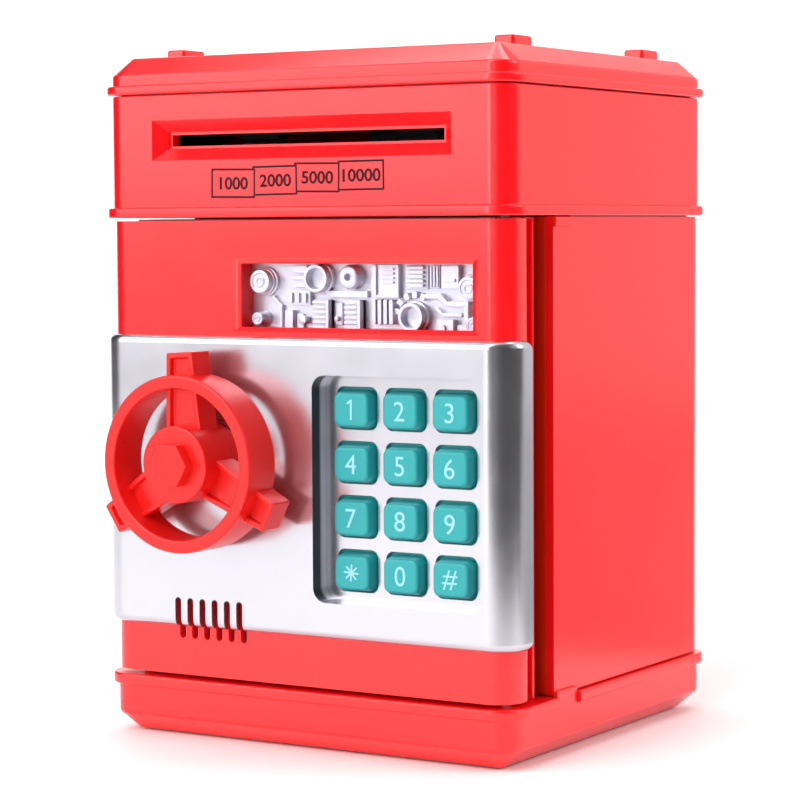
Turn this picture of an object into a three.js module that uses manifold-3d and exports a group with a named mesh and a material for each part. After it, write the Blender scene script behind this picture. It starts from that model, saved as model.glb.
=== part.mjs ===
// Toy cash machine savings bank: a hinged vault door with a keypad, a handwheel latch and a
// show window, under a header that draws notes in and drops them into the savings compartment.
// Millimetres, +Z up. The front faces -Y and the origin is the centre of the underside.
import * as THREE from "three";
import { mergeVertices } from "three/addons/utils/BufferGeometryUtils.js";
import Module from "manifold-3d";

const wasm = await Module();
wasm.setup();

// ---------- Driving dimensions ----------

// Cabinet
const WIDTH = 127.6;
const DEPTH = 116;
const HEIGHT = 186; // underside to the flat of the top cover
const CORNER_R = 6.8;
const WALL = 2.2;
const BASE_H = 16.2; // underside to the top of the lower bead
const HEADER_H = 43.9; // door gap to the flat of the top cover
const COVER_H = 10.3; // top cover, bead included
const CHAMFER_IN = 5.8;
const CHAMFER_H = 5.05;
const BEAD_OUT = 1.55;
const BEAD_H = 3;
const COVER_BEAD_H = 2.5;
const MIDDLE_INSET = 0.4; // door and side walls stand back from base and header
const LEDGE_D = 17; // ledges over and under the door, which hold the hinge pins

// Gaps
const FIT = 0.3; // between pieces that touch
const DOOR_GAP_TOP = 1.2;
const DOOR_GAP_BOTTOM = 1.1;
const SWING_GAP = 0.6; // door edge to door frame

// Lips that locate the stacked mouldings inside one another
const RIM = 2.5;
const SKIRT_H = 4;
const SKIRT_T = 1.5;

// Top pegs and coin slot
const PEG = { w: 6.1, d: 10.3, h: 2.8, fromSide: 8.4, fromFront: 18.1, fromBack: 13.3 };
const COIN_SLOT = { length: 30, width: 3.6, y: 8 };

// Note slot in the header
const NOTE_SLOT = { length: 86, height: 3.1, frameLength: 94.4, frameHeight: 11, belowTop: 22.95 };
const NOTE_THROAT_D = 7;

// Door
const DOOR_DEPTH = 14;
const HINGE_R = 5.6; // rounded hinge edge of the door
const HINGE_PIN_R = 1.5;
const HINGE_PIN_IN = 6.5; // length inside the door
const BARREL_H = 9; // solid hinge ends of the door
const HINGE_SLOT_D = 10; // groove behind the hinge edge
const FRAME_STRIP_D = 11; // side strip of the door frame behind the groove
const FRAME_OPENING = { left: 12, right: 20, bottom: 10, top: 10 };
const LUG = { d: 20, h: 2.6, out: 0.8 };
const BACK_COVER_T = 2;

// Window in the door
const WINDOW = { w: 71.6, h: 17, fromRight: 11, belowDoorTop: 11.1, lensT: 1.2, lensIn: 1.2 };
const RELIEF_T = 6;
const RELIEF_PLATE_T = 2;
const RELIEF_EDGE = 1.5; // relief plate beyond the window opening

// Silver faceplate and keypad recess
const PLATE_OUT = 2.1;
const PLATE_SIDE_D = 9;
const PLATE_ABOVE_DOOR_BOTTOM = 13.4;
const PLATE_H = 79.65;
const RECESS = { w: 51.9, h: 60.1, depth: 6.4, fromRight: 6.2, r: 3.6, floorT: 1.4 };
const KEY = { w: 11.6, h: 10, r: 1.6, besideNext: 3.45, aboveNext: 4.35, sunk: 3, gap: 0.6 };
const KEYS_OFF = { left: 0.8, down: 0.5 }; // middle of the keys from the middle of the recess
const KEY_FLANGE = { out: 0.9, t: 0.8 };
const KEY_TRAVEL = 1.2;
const KEY_LABELS = ["1", "2", "3", "4", "5", "6", "7", "8", "9", "star", "0", "hash"];
const MEMBRANE_T = 1;
const BOARD_T = 1.4;

// Speaker slots, cut through the faceplate's lower edge and the door behind it
const VENT = { count: 6, w: 2, h: 11.5, pitch: 4.05, abovePlateBottom: -3.4, fromLeft: 24.6 };
const SPEAKER = { r: 13, t: 6 };

// Handwheel and latch
const WHEEL_FROM_LEFT = 36.9;
const WHEEL_ABOVE_PLATE_BOTTOM = 46.2;
const RING = { outer: 23.7, inner: 20.2, t: 12.6, standOff: 4.4 };
const SPOKE = { count: 3, reach: 29.5, endHalf: 4.2, hubHalf: 5.8, t: 8.1, phase: 3.4 };
const HUB = { r: 10.35, proud: 0.6, gap: 0.5 };
const BOSS = { r: 6.35, h: 3.4 };
const SPINDLE_R = 3;
const SPINDLE_TIP_R = 1.6; // inside the latch pinion
const PINION = { module: 0.75, teeth: 10, t: 3.4, back: 4.5 };
const LOCK_DISC = { r: 9, t: 2, notchW: 4.6, notchD: 3.6 };
const LOCK_CASE = { left: 20, right: 34, half: 16, depth: 12.8, wall: 1.8 };
const BOLT = { t: 3, barH: 5, left: 23, right: 13 };
const PLUNGER = { h: 2.6, t: 1.6, length: 9 };
const SOLENOID = { length: 13, h: 11, t: 5 };

// Note feeder in the header
const SHELF_T = 2;
const FEED_Y = 22; // roller axis behind the header's front
const ROLLER = { r: 4.2, length: 12, fromCheek: 19, nip: 0.4 };
const SHAFT_R = 1.5;
const FEEDER = { fromSide: 13.8, cheekT: 2, front: 10, back: 38, top: 29, deckT: 1.6 };
const GEAR = { module: 0.7, teeth: 28, pinionTeeth: 10, t: 3.2 };
const MOTOR = { w: 16, d: 10, h: 12, shaftR: 1 };
const MOTOR_ANGLE = 60; // from the feed shaft, above the horizontal

// Batteries at the back
const CELL = { r: 7.1, length: 50.5, count: 3, besideNext: 0.8 };
const BATTERY_BOX = { wall: 1.6, aboveBase: 8, endRoom: 2.6, bossH: 11.5, bossHalf: 5.4 };
const COVER_T = 2;

// Screws
const SCREW = { headR: 3, headT: 1.6, shankR: 1.4, shank: 7, sunk: 0.6 };

// ---------- Places worked out from the dimensions ----------

const HALF = WIDTH / 2;
const FRONT = -DEPTH / 2;
const BACK = DEPTH / 2;
const MID_HALF = HALF - MIDDLE_INSET;
const MID_FRONT = FRONT + MIDDLE_INSET;
const MID_BACK = BACK - MIDDLE_INSET;
const HEADER_Z = HEIGHT - HEADER_H;
const COVER_Z = HEIGHT - COVER_H;
const DOOR_Z0 = BASE_H + DOOR_GAP_BOTTOM;
const DOOR_Z1 = HEADER_Z - DOOR_GAP_TOP;
const HINGE = { x: MID_HALF - HINGE_R, y: MID_FRONT + DOOR_DEPTH - HINGE_R };
const BULKHEAD_Y = MID_FRONT + DOOR_DEPTH + SWING_GAP;
const STRIP_Y = MID_FRONT + DOOR_DEPTH + HINGE_SLOT_D;
const SHELL_Y = STRIP_Y + FRAME_STRIP_D;
const PLATE_Y = MID_FRONT - PLATE_OUT;
const PLATE_Z0 = DOOR_Z0 + PLATE_ABOVE_DOOR_BOTTOM;
const PLATE_Z1 = PLATE_Z0 + PLATE_H;
const RECESS_X1 = MID_HALF - RECESS.fromRight;
const RECESS_X0 = RECESS_X1 - RECESS.w;
const RECESS_X = (RECESS_X0 + RECESS_X1) / 2;
const RECESS_Z = (PLATE_Z0 + PLATE_Z1) / 2;
const FLOOR_Y = PLATE_Y + RECESS.depth;
const WHEEL_X = -HALF + WHEEL_FROM_LEFT;
const WHEEL_Z = PLATE_Z0 + WHEEL_ABOVE_PLATE_BOTTOM;
const RING_BACK = PLATE_Y - RING.standOff;
const RING_FRONT = RING_BACK - RING.t;
const HUB_FRONT = RING_FRONT - HUB.proud;
const WINDOW_X1 = MID_HALF - WINDOW.fromRight;
const WINDOW_X0 = WINDOW_X1 - WINDOW.w;
const WINDOW_Z1 = DOOR_Z1 - WINDOW.belowDoorTop;
const WINDOW_Z0 = WINDOW_Z1 - WINDOW.h;
const COVER_BACK_Y = MID_FRONT + DOOR_DEPTH - FIT;
const COVER_FRONT_Y = COVER_BACK_Y - BACK_COVER_T;
const NOTE_Z = HEIGHT - NOTE_SLOT.belowTop;

// ---------- Geometry helpers ----------

function solid(geometry) {
  const bare = new THREE.BufferGeometry();
  const source = geometry.index ? geometry.toNonIndexed() : geometry;
  bare.setAttribute("position", source.getAttribute("position"));
  const merged = mergeVertices(bare, 1e-4);
  return new wasm.Manifold(
    new wasm.Mesh({
      numProp: 3,
      vertProperties: new Float32Array(merged.attributes.position.array),
      triVerts: new Uint32Array(merged.index.array),
    }),
  );
}

function join(...parts) {
  return parts.flat().reduce((sum, part) => sum.add(part));
}

function cut(body, ...tools) {
  return tools.flat().reduce((rest, tool) => rest.subtract(tool), body);
}

// A box between two corners.
function block([x0, y0, z0], [x1, y1, z1]) {
  const box = new THREE.BoxGeometry(x1 - x0, y1 - y0, z1 - z0);
  return solid(box.translate((x0 + x1) / 2, (y0 + y1) / 2, (z0 + z1) / 2));
}

// An outline in X and Y, raised from z0 to z1.
function raise(shape, z0, z1, curveSegments = 6) {
  const options = { depth: z1 - z0, bevelEnabled: false, curveSegments };
  return solid(new THREE.ExtrudeGeometry(shape, options).translate(0, 0, z0));
}

// An outline in X and Z, as seen from the front, between y0 and y1.
function panel(shape, y0, y1, curveSegments = 6) {
  const options = { depth: y1 - y0, bevelEnabled: false, curveSegments };
  const geometry = new THREE.ExtrudeGeometry(shape, options);
  return solid(geometry.rotateX(Math.PI / 2).translate(0, y1, 0));
}

// An outline in Y and Z between x0 and x1.
function slice(shape, x0, x1, curveSegments = 6) {
  const options = { depth: x1 - x0, bevelEnabled: false, curveSegments };
  const geometry = new THREE.ExtrudeGeometry(shape, options);
  geometry.rotateX(Math.PI / 2).rotateZ(Math.PI / 2);
  return solid(geometry.translate(x0, 0, 0));
}

function rectangle(x0, z0, x1, z1, r = 0) {
  const shape = new THREE.Shape();
  if (r === 0) {
    shape.moveTo(x0, z0).lineTo(x1, z0).lineTo(x1, z1).lineTo(x0, z1).closePath();
    return shape;
  }
  shape.moveTo(x0 + r, z0).lineTo(x1 - r, z0);
  shape.absarc(x1 - r, z0 + r, r, -Math.PI / 2, 0);
  shape.lineTo(x1, z1 - r).absarc(x1 - r, z1 - r, r, 0, Math.PI / 2);
  shape.lineTo(x0 + r, z1).absarc(x0 + r, z1 - r, r, Math.PI / 2, Math.PI);
  shape.lineTo(x0, z0 + r).absarc(x0 + r, z0 + r, r, Math.PI, 1.5 * Math.PI);
  return shape;
}

function circle(x, z, r) {
  return new THREE.Shape().absarc(x, z, r, 0, 2 * Math.PI);
}

// A regular outline of straight sides, such as a hexagon.
function polygon(x, z, r, sides, turn = 0) {
  const points = [];
  for (let i = 0; i < sides; i++) {
    const angle = turn + (2 * Math.PI * i) / sides;
    points.push(new THREE.Vector2(x + r * Math.cos(angle), z + r * Math.sin(angle)));
  }
  return new THREE.Shape(points);
}

// Spur gear outline with straight-flanked teeth; one tooth is centred on the angle turn.
function gearOutline(x, z, module, teeth, turn = 0) {
  const pitchR = (module * teeth) / 2;
  const tipR = pitchR + 0.85 * module;
  const rootR = pitchR - 1.25 * module;
  const step = (2 * Math.PI) / teeth;
  const points = [];
  for (let i = 0; i < teeth; i++) {
    const middle = turn + i * step;
    const corners = [[rootR, -0.33], [tipR, -0.11], [tipR, 0.11], [rootR, 0.33]];
    for (const [r, share] of corners) {
      const angle = middle + share * step;
      points.push(new THREE.Vector2(x + r * Math.cos(angle), z + r * Math.sin(angle)));
    }
  }
  return new THREE.Shape(points);
}

// Plan outline that wraps both front corners and ends straight at the back.
function wrapOutline(half, frontY, r, backY) {
  const shape = new THREE.Shape();
  shape.moveTo(-half, backY).lineTo(-half, frontY + r);
  shape.absarc(-half + r, frontY + r, r, Math.PI, 1.5 * Math.PI);
  shape.lineTo(half - r, frontY);
  shape.absarc(half - r, frontY + r, r, 1.5 * Math.PI, 2 * Math.PI);
  shape.lineTo(half, backY).closePath();
  return shape;
}

function cabinetOutline(grow = 0) {
  const half = HALF + grow;
  const r = Math.max(CORNER_R + grow, 1);
  return rectangle(-half, FRONT - grow, half, BACK + grow, r);
}

function middleOutline(grow = 0) {
  const half = MID_HALF + grow;
  return rectangle(-half, MID_FRONT - grow, half, MID_BACK + grow, CORNER_R + grow);
}

// The cabinet's outline with a chamfer at both ends.
function chamferedBlock(z0, z1) {
  const options = {
    depth: z1 - z0 - 2 * CHAMFER_H,
    bevelSize: CHAMFER_IN,
    bevelOffset: -CHAMFER_IN,
    bevelThickness: CHAMFER_H,
    bevelSegments: 1,
    curveSegments: 6,
  };
  const geometry = new THREE.ExtrudeGeometry(cabinetOutline(), options);
  return solid(geometry.translate(0, 0, z0 + CHAMFER_H));
}

// A round bar along Y or along X.
function barY(x, z, r, y0, y1, segments = 12) {
  return panel(circle(x, z, r), y0, y1, segments);
}

function barX(y, z, r, x0, x1, segments = 12) {
  return slice(circle(y, z, r), x0, x1, segments);
}

function barZ(x, y, r, z0, z1, segments = 10) {
  return raise(circle(x, y, r), z0, z1, segments);
}

// ---------- Materials and the assembly ----------

const bank = new THREE.Group();

const FINISHES = {
  red: [0xf0141c, 0.3, 0],
  silver: [0xd9d6e0, 0.25, 0.9],
  teal: [0x2fb7b9, 0.4, 0],
  clear: [0xf4f4fa, 0.05, 0],
  relief: [0xc9c6d8, 0.35, 0.6],
  steel: [0xb8bcc2, 0.3, 1],
  rubber: [0x2b2b2e, 0.9, 0],
  board: [0x1d6b3c, 0.6, 0],
  nylon: [0xf2f0e6, 0.5, 0],
  black: [0x1b1b1e, 0.5, 0],
  cell: [0x2c3f8f, 0.35, 0.2],
};

function add(name, body, finish) {
  const made = body.getMesh();
  const geometry = new THREE.BufferGeometry();
  const positions = new Float32Array(made.numVert * 3);
  for (let i = 0; i < made.numVert; i++) {
    const start = i * made.numProp;
    positions.set(made.vertProperties.subarray(start, start + 3), i * 3);
  }
  geometry.setAttribute("position", new THREE.BufferAttribute(positions, 3));
  geometry.setIndex(new THREE.BufferAttribute(new Uint32Array(made.triVerts), 1));
  geometry.computeVertexNormals();
  const [color, roughness, metalness] = FINISHES[finish];
  const material = new THREE.MeshStandardMaterial({ color, roughness, metalness });
  const mesh = new THREE.Mesh(geometry, material);
  mesh.name = name;
  bank.add(mesh);
}

// ---------- Cabinet ----------

const POST = { in: 10, half: 3.6, front: 12, back: 14, top: 12 };
const POST_SPOTS = [-1, 1].flatMap((side) => [
  [side * (MID_HALF - POST.in), SHELL_Y + POST.front],
  [side * (MID_HALF - POST.in), MID_BACK - POST.back],
]);
const BOSS_TOP = BASE_H / 2;

function baseTray() {
  const block0 = chamferedBlock(0, 4 * BASE_H);
  const lower = block0.intersect(raise(cabinetOutline(1), -1, BASE_H));
  const bead = raise(cabinetOutline(BEAD_OUT), BASE_H - BEAD_H, BASE_H);
  const pocketHalf = HALF - WALL - CHAMFER_IN;
  const floorPocket = rectangle(-pocketHalf, FRONT + WALL + CHAMFER_IN,
    pocketHalf, BACK - WALL - CHAMFER_IN, 1);
  const upperPocket = cabinetOutline(-WALL);
  const ledgeFrom = BASE_H - WALL;
  const outer = join(lower, bead);
  const low = raise(floorPocket, WALL, CHAMFER_H + WALL);
  const high = raise(upperPocket, CHAMFER_H + WALL, ledgeFrom);
  const mouth = raise(upperPocket, ledgeFrom - FIT, BASE_H + 1)
    .intersect(block([-WIDTH, FRONT + LEDGE_D, 0], [WIDTH, BACK, HEIGHT]));
  const bosses = POST_SPOTS.map(([x, y]) => raise(
    rectangle(x - POST.half - 1, y - POST.half - 1, x + POST.half, y + POST.half + 1),
    WALL / 2, BOSS_TOP));
  const headTop = SCREW.sunk + SCREW.headT + FIT;
  const bores = POST_SPOTS.flatMap(([x, y]) => [
    barZ(x, y, SCREW.headR + FIT, -1, headTop, 6),
    barZ(x, y, SCREW.shankR + FIT, 0, BOSS_TOP + 1, 4),
  ]);
  const pinHole = barZ(HINGE.x, HINGE.y, HINGE_PIN_R + FIT, ledgeFrom - 1, BASE_H + 1);
  return cut(join(cut(outer, low, high, mouth), bosses), bores, pinHole);
}

function baseScrew([x, y]) {
  const head = barZ(x, y, SCREW.headR, SCREW.sunk, SCREW.sunk + SCREW.headT, 6);
  const top = SCREW.sunk + SCREW.headT;
  return join(head, barZ(x, y, SCREW.shankR, top - 0.2, BOSS_TOP + SCREW.shank, 4));
}

const CELL_PITCH = 2 * CELL.r + CELL.besideNext;
const BOX_HALF = (CELL_PITCH * (CELL.count - 1)) / 2 + CELL.r + 0.6;
const BOX_Z0 = BASE_H + BATTERY_BOX.aboveBase;
const BOX_Z1 = BOX_Z0 + CELL.length + 2 * BATTERY_BOX.endRoom;
const HATCH_Z1 = BOX_Z1 + BATTERY_BOX.bossH;
const COVER_SCREW_Z = (BOX_Z1 + BATTERY_BOX.wall + HATCH_Z1) / 2;
const COVER_COLLAR = { r: SCREW.headR + 1.2, backY: MID_BACK - COVER_T - 2.2 };
const CELL_Y = MID_BACK - COVER_T - 0.8 - CELL.r;
const BOX_IN_Y = CELL_Y - CELL.r - 0.5;

function bodyShell() {
  const z0 = BASE_H + FIT;
  const z1 = HEADER_Z - FIT;
  const outer = raise(middleOutline(), z0, z1);
  const inner = raise(middleOutline(-WALL), z0 - 1, z1 + 1);
  const frontAway = block([-WIDTH, FRONT - 9, 0], [WIDTH, SHELL_Y + FIT, HEIGHT]);
  const hatch = rectangle(-BOX_HALF, BOX_Z0, BOX_HALF, HATCH_Z1, 2);
  const shell = cut(outer, inner, frontAway, panel(hatch, BACK - 3 * WALL, BACK + 1));
  const posts = POST_SPOTS.map(([x, y]) => {
    const wallX = Math.sign(x) * (MID_HALF - WALL - FIT / 2);
    const freeX = x - Math.sign(x) * POST.half;
    const low = [Math.min(wallX, freeX), y - POST.half, BOSS_TOP + FIT];
    const high = [Math.max(wallX, freeX), y + POST.half, z0 + POST.top];
    const bind = block(
      [Math.min(wallX, freeX), y - POST.half, z0],
      [Math.max(wallX, freeX) + (x > 0 ? 1 : 0), y + POST.half, z0 + POST.top],
    );
    const grip = x > 0 ? bind : bind.translate([-1, 0, 0]);
    return join(block(low, high), grip);
  });
  const bores = POST_SPOTS.map(([x, y]) =>
    barZ(x, y, SCREW.shankR + FIT, 0, BOSS_TOP + SCREW.shank + 1, 4));
  return cut(join(shell, posts), bores);
}

function doorFrame() {
  const z0 = BASE_H + FIT;
  const z1 = HEADER_Z - FIT;
  const jogX = HINGE.x - HINGE_R - SWING_GAP - WALL;
  const walls = [
    block([-MID_HALF, BULKHEAD_Y, z0], [jogX + WALL, BULKHEAD_Y + WALL, z1]),
    block([jogX, BULKHEAD_Y, z0], [jogX + WALL, STRIP_Y + WALL, z1]),
    block([jogX, STRIP_Y, z0], [MID_HALF, STRIP_Y + WALL, z1]),
    block([MID_HALF - WALL, STRIP_Y, z0], [MID_HALF, SHELL_Y, z1]),
    block([-MID_HALF, BULKHEAD_Y, z0], [-MID_HALF + WALL, SHELL_Y, z1]),
  ];
  const opening = block(
    [-MID_HALF + FRAME_OPENING.left, BULKHEAD_Y - 1, z0 + FRAME_OPENING.bottom],
    [jogX - FRAME_OPENING.right + WALL, BULKHEAD_Y + WALL + 1, z1 - FRAME_OPENING.top],
  );
  const lugX = [jogX + WALL - 0.5, MID_HALF + LUG.out];
  const lugY = [SHELL_Y - LUG.d, SHELL_Y];
  const lugs = [[z0, z0 + LUG.h], [z1 - LUG.h, z1]].map(([low, high]) =>
    join(
      block([lugX[0], lugY[0], low], [MID_HALF - HINGE_R, STRIP_Y + 1, high]),
      block([MID_HALF - 1, STRIP_Y, low], [lugX[1], lugY[1], high]),
    ),
  );
  return join(cut(join(walls), opening), lugs);
}

function upperHousing() {
  const top = COVER_Z - FIT;
  const outer = join(
    raise(cabinetOutline(), HEADER_Z, top),
    raise(cabinetOutline(BEAD_OUT), HEADER_Z, HEADER_Z + BEAD_H),
  );
  const inner = raise(cabinetOutline(-WALL), HEADER_Z + WALL, top + 1);
  const floorAway = raise(cabinetOutline(-WALL - RIM), HEADER_Z - 1, HEADER_Z + 2 * WALL)
    .intersect(block([-WIDTH, FRONT + LEDGE_D, 0], [WIDTH, BACK, HEIGHT]));
  const skirt = cut(
    raise(middleOutline(-WALL - FIT), HEADER_Z - SKIRT_H, HEADER_Z + WALL / 2),
    raise(middleOutline(-WALL - FIT - SKIRT_T), HEADER_Z - SKIRT_H - 1, HEADER_Z + WALL),
  ).intersect(block([-WIDTH, SHELL_Y + 3, 0], [WIDTH, BACK, HEIGHT]));
  const halfLength = NOTE_SLOT.length / 2;
  const halfHeight = NOTE_SLOT.height / 2;
  const throatGrow = 3;
  const throat = block(
    [-halfLength - throatGrow, FRONT + 1, NOTE_Z - halfHeight - throatGrow],
    [halfLength + throatGrow, FRONT + NOTE_THROAT_D, NOTE_Z + halfHeight + throatGrow],
  );
  const slot = block(
    [-halfLength, FRONT - 1, NOTE_Z - halfHeight],
    [halfLength, FRONT + NOTE_THROAT_D + 1, NOTE_Z + halfHeight],
  );
  const pinHole = barZ(HINGE.x, HINGE.y, HINGE_PIN_R + FIT, HEADER_Z - 1, HEADER_Z + WALL + 1);
  return cut(join(cut(outer, inner, floorAway), throat, skirt), slot, noteFunnel(), pinHole);
}

// Bevelled mouth around the note slot, deepest at the slot itself.
function noteFunnel() {
  const bevel = (NOTE_SLOT.frameHeight - NOTE_SLOT.height) / 2;
  const depth = 2;
  const outline = rectangle(
    -NOTE_SLOT.frameLength / 2, NOTE_Z - NOTE_SLOT.frameHeight / 2,
    NOTE_SLOT.frameLength / 2, NOTE_Z + NOTE_SLOT.frameHeight / 2,
  );
  const options = {
    depth: 2,
    bevelSize: bevel,
    bevelOffset: -bevel,
    bevelThickness: depth,
    bevelSegments: 1,
  };
  const geometry = new THREE.ExtrudeGeometry(outline, options);
  return solid(geometry.rotateX(Math.PI / 2).translate(0, FRONT, 0));
}

function topCover() {
  const block0 = chamferedBlock(HEIGHT - 4 * COVER_H, HEIGHT);
  const upper = block0.intersect(raise(cabinetOutline(1), COVER_Z, HEIGHT + 1));
  const bead = raise(cabinetOutline(BEAD_OUT), COVER_Z, COVER_Z + COVER_BEAD_H);
  const shoulder = HEIGHT - CHAMFER_H - WALL / 2;
  const low = raise(cabinetOutline(-WALL), COVER_Z - 1, shoulder);
  const high = raise(cabinetOutline(-WALL - CHAMFER_IN + 1), shoulder - 1, HEIGHT - WALL);
  const pegs = [];
  for (const side of [-1, 1]) {
    const x = side * (HALF - PEG.fromSide - PEG.w / 2);
    const places = [FRONT + PEG.fromFront, BACK - PEG.fromBack - PEG.d];
    for (const y of places) {
      const outline = rectangle(x - PEG.w / 2, y, x + PEG.w / 2, y + PEG.d, 0.8);
      pegs.push(raise(outline, HEIGHT - 0.5, HEIGHT + PEG.h, 2));
    }
  }
  const slotHalf = COIN_SLOT.width / 2;
  const slot = rectangle(
    -COIN_SLOT.length / 2, COIN_SLOT.y - slotHalf,
    COIN_SLOT.length / 2, COIN_SLOT.y + slotHalf, 1,
  );
  const coinSlot = raise(slot, HEIGHT - 2 * WALL, HEIGHT + 1, 2);
  const skirt = cut(
    raise(cabinetOutline(-WALL - FIT), COVER_Z - SKIRT_H, shoulder + 0.5),
    raise(cabinetOutline(-WALL - FIT - SKIRT_T), COVER_Z - SKIRT_H - 1, shoulder + 1),
  );
  return cut(join(cut(join(upper, bead), low, high), pegs, skirt), coinSlot);
}

const SHELF_Z = HEADER_Z + WALL + FIT;
const CHUTE_WALL = 1.4;
const DROP_Y = [FRONT + 27, FRONT + 41];

function chuteOutline(grow) {
  return rectangle(
    -COIN_SLOT.length / 2 - grow, COIN_SLOT.y - COIN_SLOT.width / 2 - grow,
    COIN_SLOT.length / 2 + grow, COIN_SLOT.y + COIN_SLOT.width / 2 + grow,
  );
}

function dividerShelf() {
  const plate = raise(cabinetOutline(-WALL - FIT), SHELF_Z, SHELF_Z + SHELF_T);
  const drop = block(
    [-NOTE_SLOT.length / 2 - 1, DROP_Y[0], SHELF_Z - 1],
    [NOTE_SLOT.length / 2 + 1, DROP_Y[1], SHELF_Z + SHELF_T + 1],
  );
  const coinHole = raise(chuteOutline(CHUTE_WALL + FIT), SHELF_Z - 1, SHELF_Z + SHELF_T + 1);
  return cut(plate, drop, coinHole);
}

function coinChute() {
  const top = HEIGHT - WALL - FIT;
  const tube = raise(chuteOutline(CHUTE_WALL), SHELF_Z - 4, top);
  const collar = raise(chuteOutline(CHUTE_WALL + 2), SHELF_Z + SHELF_T + FIT,
    SHELF_Z + SHELF_T + FIT + 1.5);
  return cut(join(tube, collar), raise(chuteOutline(0), SHELF_Z - 5, top + 1));
}

// ---------- Batteries ----------

function batteryBox() {
  const wall = BATTERY_BOX.wall;
  const outer = block(
    [-BOX_HALF - wall, BOX_IN_Y - wall, BOX_Z0 - wall],
    [BOX_HALF + wall, MID_BACK - WALL - FIT, HATCH_Z1 + wall],
  );
  const room = block([-BOX_HALF, BOX_IN_Y, BOX_Z0], [BOX_HALF, BACK + 1, BOX_Z1]);
  const overRoom = block([-BOX_HALF, BOX_IN_Y, BOX_Z1 + wall], [BOX_HALF, BACK + 1, HATCH_Z1]);
  const half = BATTERY_BOX.bossHalf;
  const boss = block(
    [-half, BOX_IN_Y - wall / 2, BOX_Z1 + wall / 2],
    [half, COVER_COLLAR.backY - FIT, HATCH_Z1 + wall / 2],
  );
  const bore = barY(0, COVER_SCREW_Z, SCREW.shankR + FIT,
    MID_BACK - SCREW.sunk - SCREW.headT - SCREW.shank - 1, BACK, 4);
  return cut(join(cut(outer, room, overRoom), boss), bore);
}

function batteryScrew() {
  const headY = MID_BACK - SCREW.sunk - SCREW.headT;
  return join(
    barY(0, COVER_SCREW_Z, SCREW.headR, headY, headY + SCREW.headT, 6),
    barY(0, COVER_SCREW_Z, SCREW.shankR, headY - SCREW.shank, headY + 0.2, 4),
  );
}

function battery(index) {
  const x = (index - (CELL.count - 1) / 2) * CELL_PITCH;
  const z0 = BOX_Z0 + BATTERY_BOX.endRoom;
  const up = index % 2 === 0;
  const can = barZ(x, CELL_Y, CELL.r, up ? z0 : z0 + 1, z0 + CELL.length - (up ? 1 : 0), 5);
  const nubAt = up ? z0 + CELL.length - 1.2 : z0;
  return join(can, barZ(x, CELL_Y, CELL.r * 0.36, nubAt, nubAt + 1.2, 4));
}

function batteryCover() {
  const gap = 0.4;
  const outline = rectangle(
    -BOX_HALF + gap, BOX_Z0 + gap, BOX_HALF - gap, HATCH_Z1 - gap, 2 - gap);
  const plate = panel(outline, MID_BACK - COVER_T, MID_BACK);
  const collar = barY(0, COVER_SCREW_Z, COVER_COLLAR.r, COVER_COLLAR.backY, MID_BACK - 0.5, 8);
  const sink = MID_BACK - SCREW.sunk - SCREW.headT - FIT;
  return cut(
    join(plate, collar),
    barY(0, COVER_SCREW_Z, SCREW.headR + FIT, sink, MID_BACK + 1, 6),
    barY(0, COVER_SCREW_Z, SCREW.shankR + FIT, COVER_COLLAR.backY - 1, MID_BACK, 4),
  );
}

// ---------- Door ----------

function doorShell() {
  const backY = MID_FRONT + DOOR_DEPTH;
  const outline = wrapOutline(MID_HALF, MID_FRONT, CORNER_R, backY);
  const inside = wrapOutline(MID_HALF - WALL, MID_FRONT + WALL, CORNER_R - WALL, backY + 1);
  const corner = cut(
    block([HINGE.x, HINGE.y, DOOR_Z0 - 1], [MID_HALF + 1, backY + 1, DOOR_Z1 + 1]),
    barZ(HINGE.x, HINGE.y, HINGE_R, DOOR_Z0 - 2, DOOR_Z1 + 2, 8),
  );
  const edgeWall = cut(
    block([HINGE.x, HINGE.y, DOOR_Z0], [MID_HALF + 1, backY + 2, DOOR_Z1]),
    barZ(HINGE.x, HINGE.y, HINGE_R - WALL, DOOR_Z0 - 1, DOOR_Z1 + 1, 8),
  );
  const hollow = cut(raise(inside, DOOR_Z0 + WALL, DOOR_Z1 - WALL), edgeWall);
  const shell = cut(raise(outline, DOOR_Z0, DOOR_Z1), hollow, corner);
  const barrels = [
    barZ(HINGE.x, HINGE.y, HINGE_R, DOOR_Z0, DOOR_Z0 + BARREL_H, 8),
    barZ(HINGE.x, HINGE.y, HINGE_R, DOOR_Z1 - BARREL_H, DOOR_Z1, 8),
  ];
  const pinBore = HINGE_PIN_R + FIT;
  const bores = [
    barZ(HINGE.x, HINGE.y, pinBore, DOOR_Z0 - 1, DOOR_Z0 + HINGE_PIN_IN + FIT),
    barZ(HINGE.x, HINGE.y, pinBore, DOOR_Z1 - HINGE_PIN_IN - FIT, DOOR_Z1 + 1),
  ];
  const posts = DOOR_SCREWS.map(([x, z]) =>
    barY(x, z, SCREW.headR, MID_FRONT + WALL - 0.5, COVER_FRONT_Y - FIT, 4),
  );
  const holes = DOOR_SCREWS.map(([x, z]) =>
    barY(x, z, SCREW.shankR + FIT, MID_FRONT + WALL + 1, COVER_BACK_Y, 4),
  );
  const tub = RECESS.floorT + FIT;
  const keypadHole = rectangle(
    RECESS_X0 - tub, RECESS_Z - RECESS.h / 2 - tub,
    RECESS_X1 + tub, RECESS_Z + RECESS.h / 2 + tub, RECESS.r + tub,
  );
  const windowHole = rectangle(WINDOW_X0, WINDOW_Z0, WINDOW_X1, WINDOW_Z1, 1);
  const through = [MID_FRONT - 1, MID_FRONT + WALL + 1];
  return cut(
    join(shell, barrels, posts), bores, holes,
    panel(keypadHole, ...through), panel(windowHole, ...through, 3),
    barY(WHEEL_X, WHEEL_Z, SPINDLE_R + 1, ...through), ventSlots(...through),
  );
}

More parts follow.
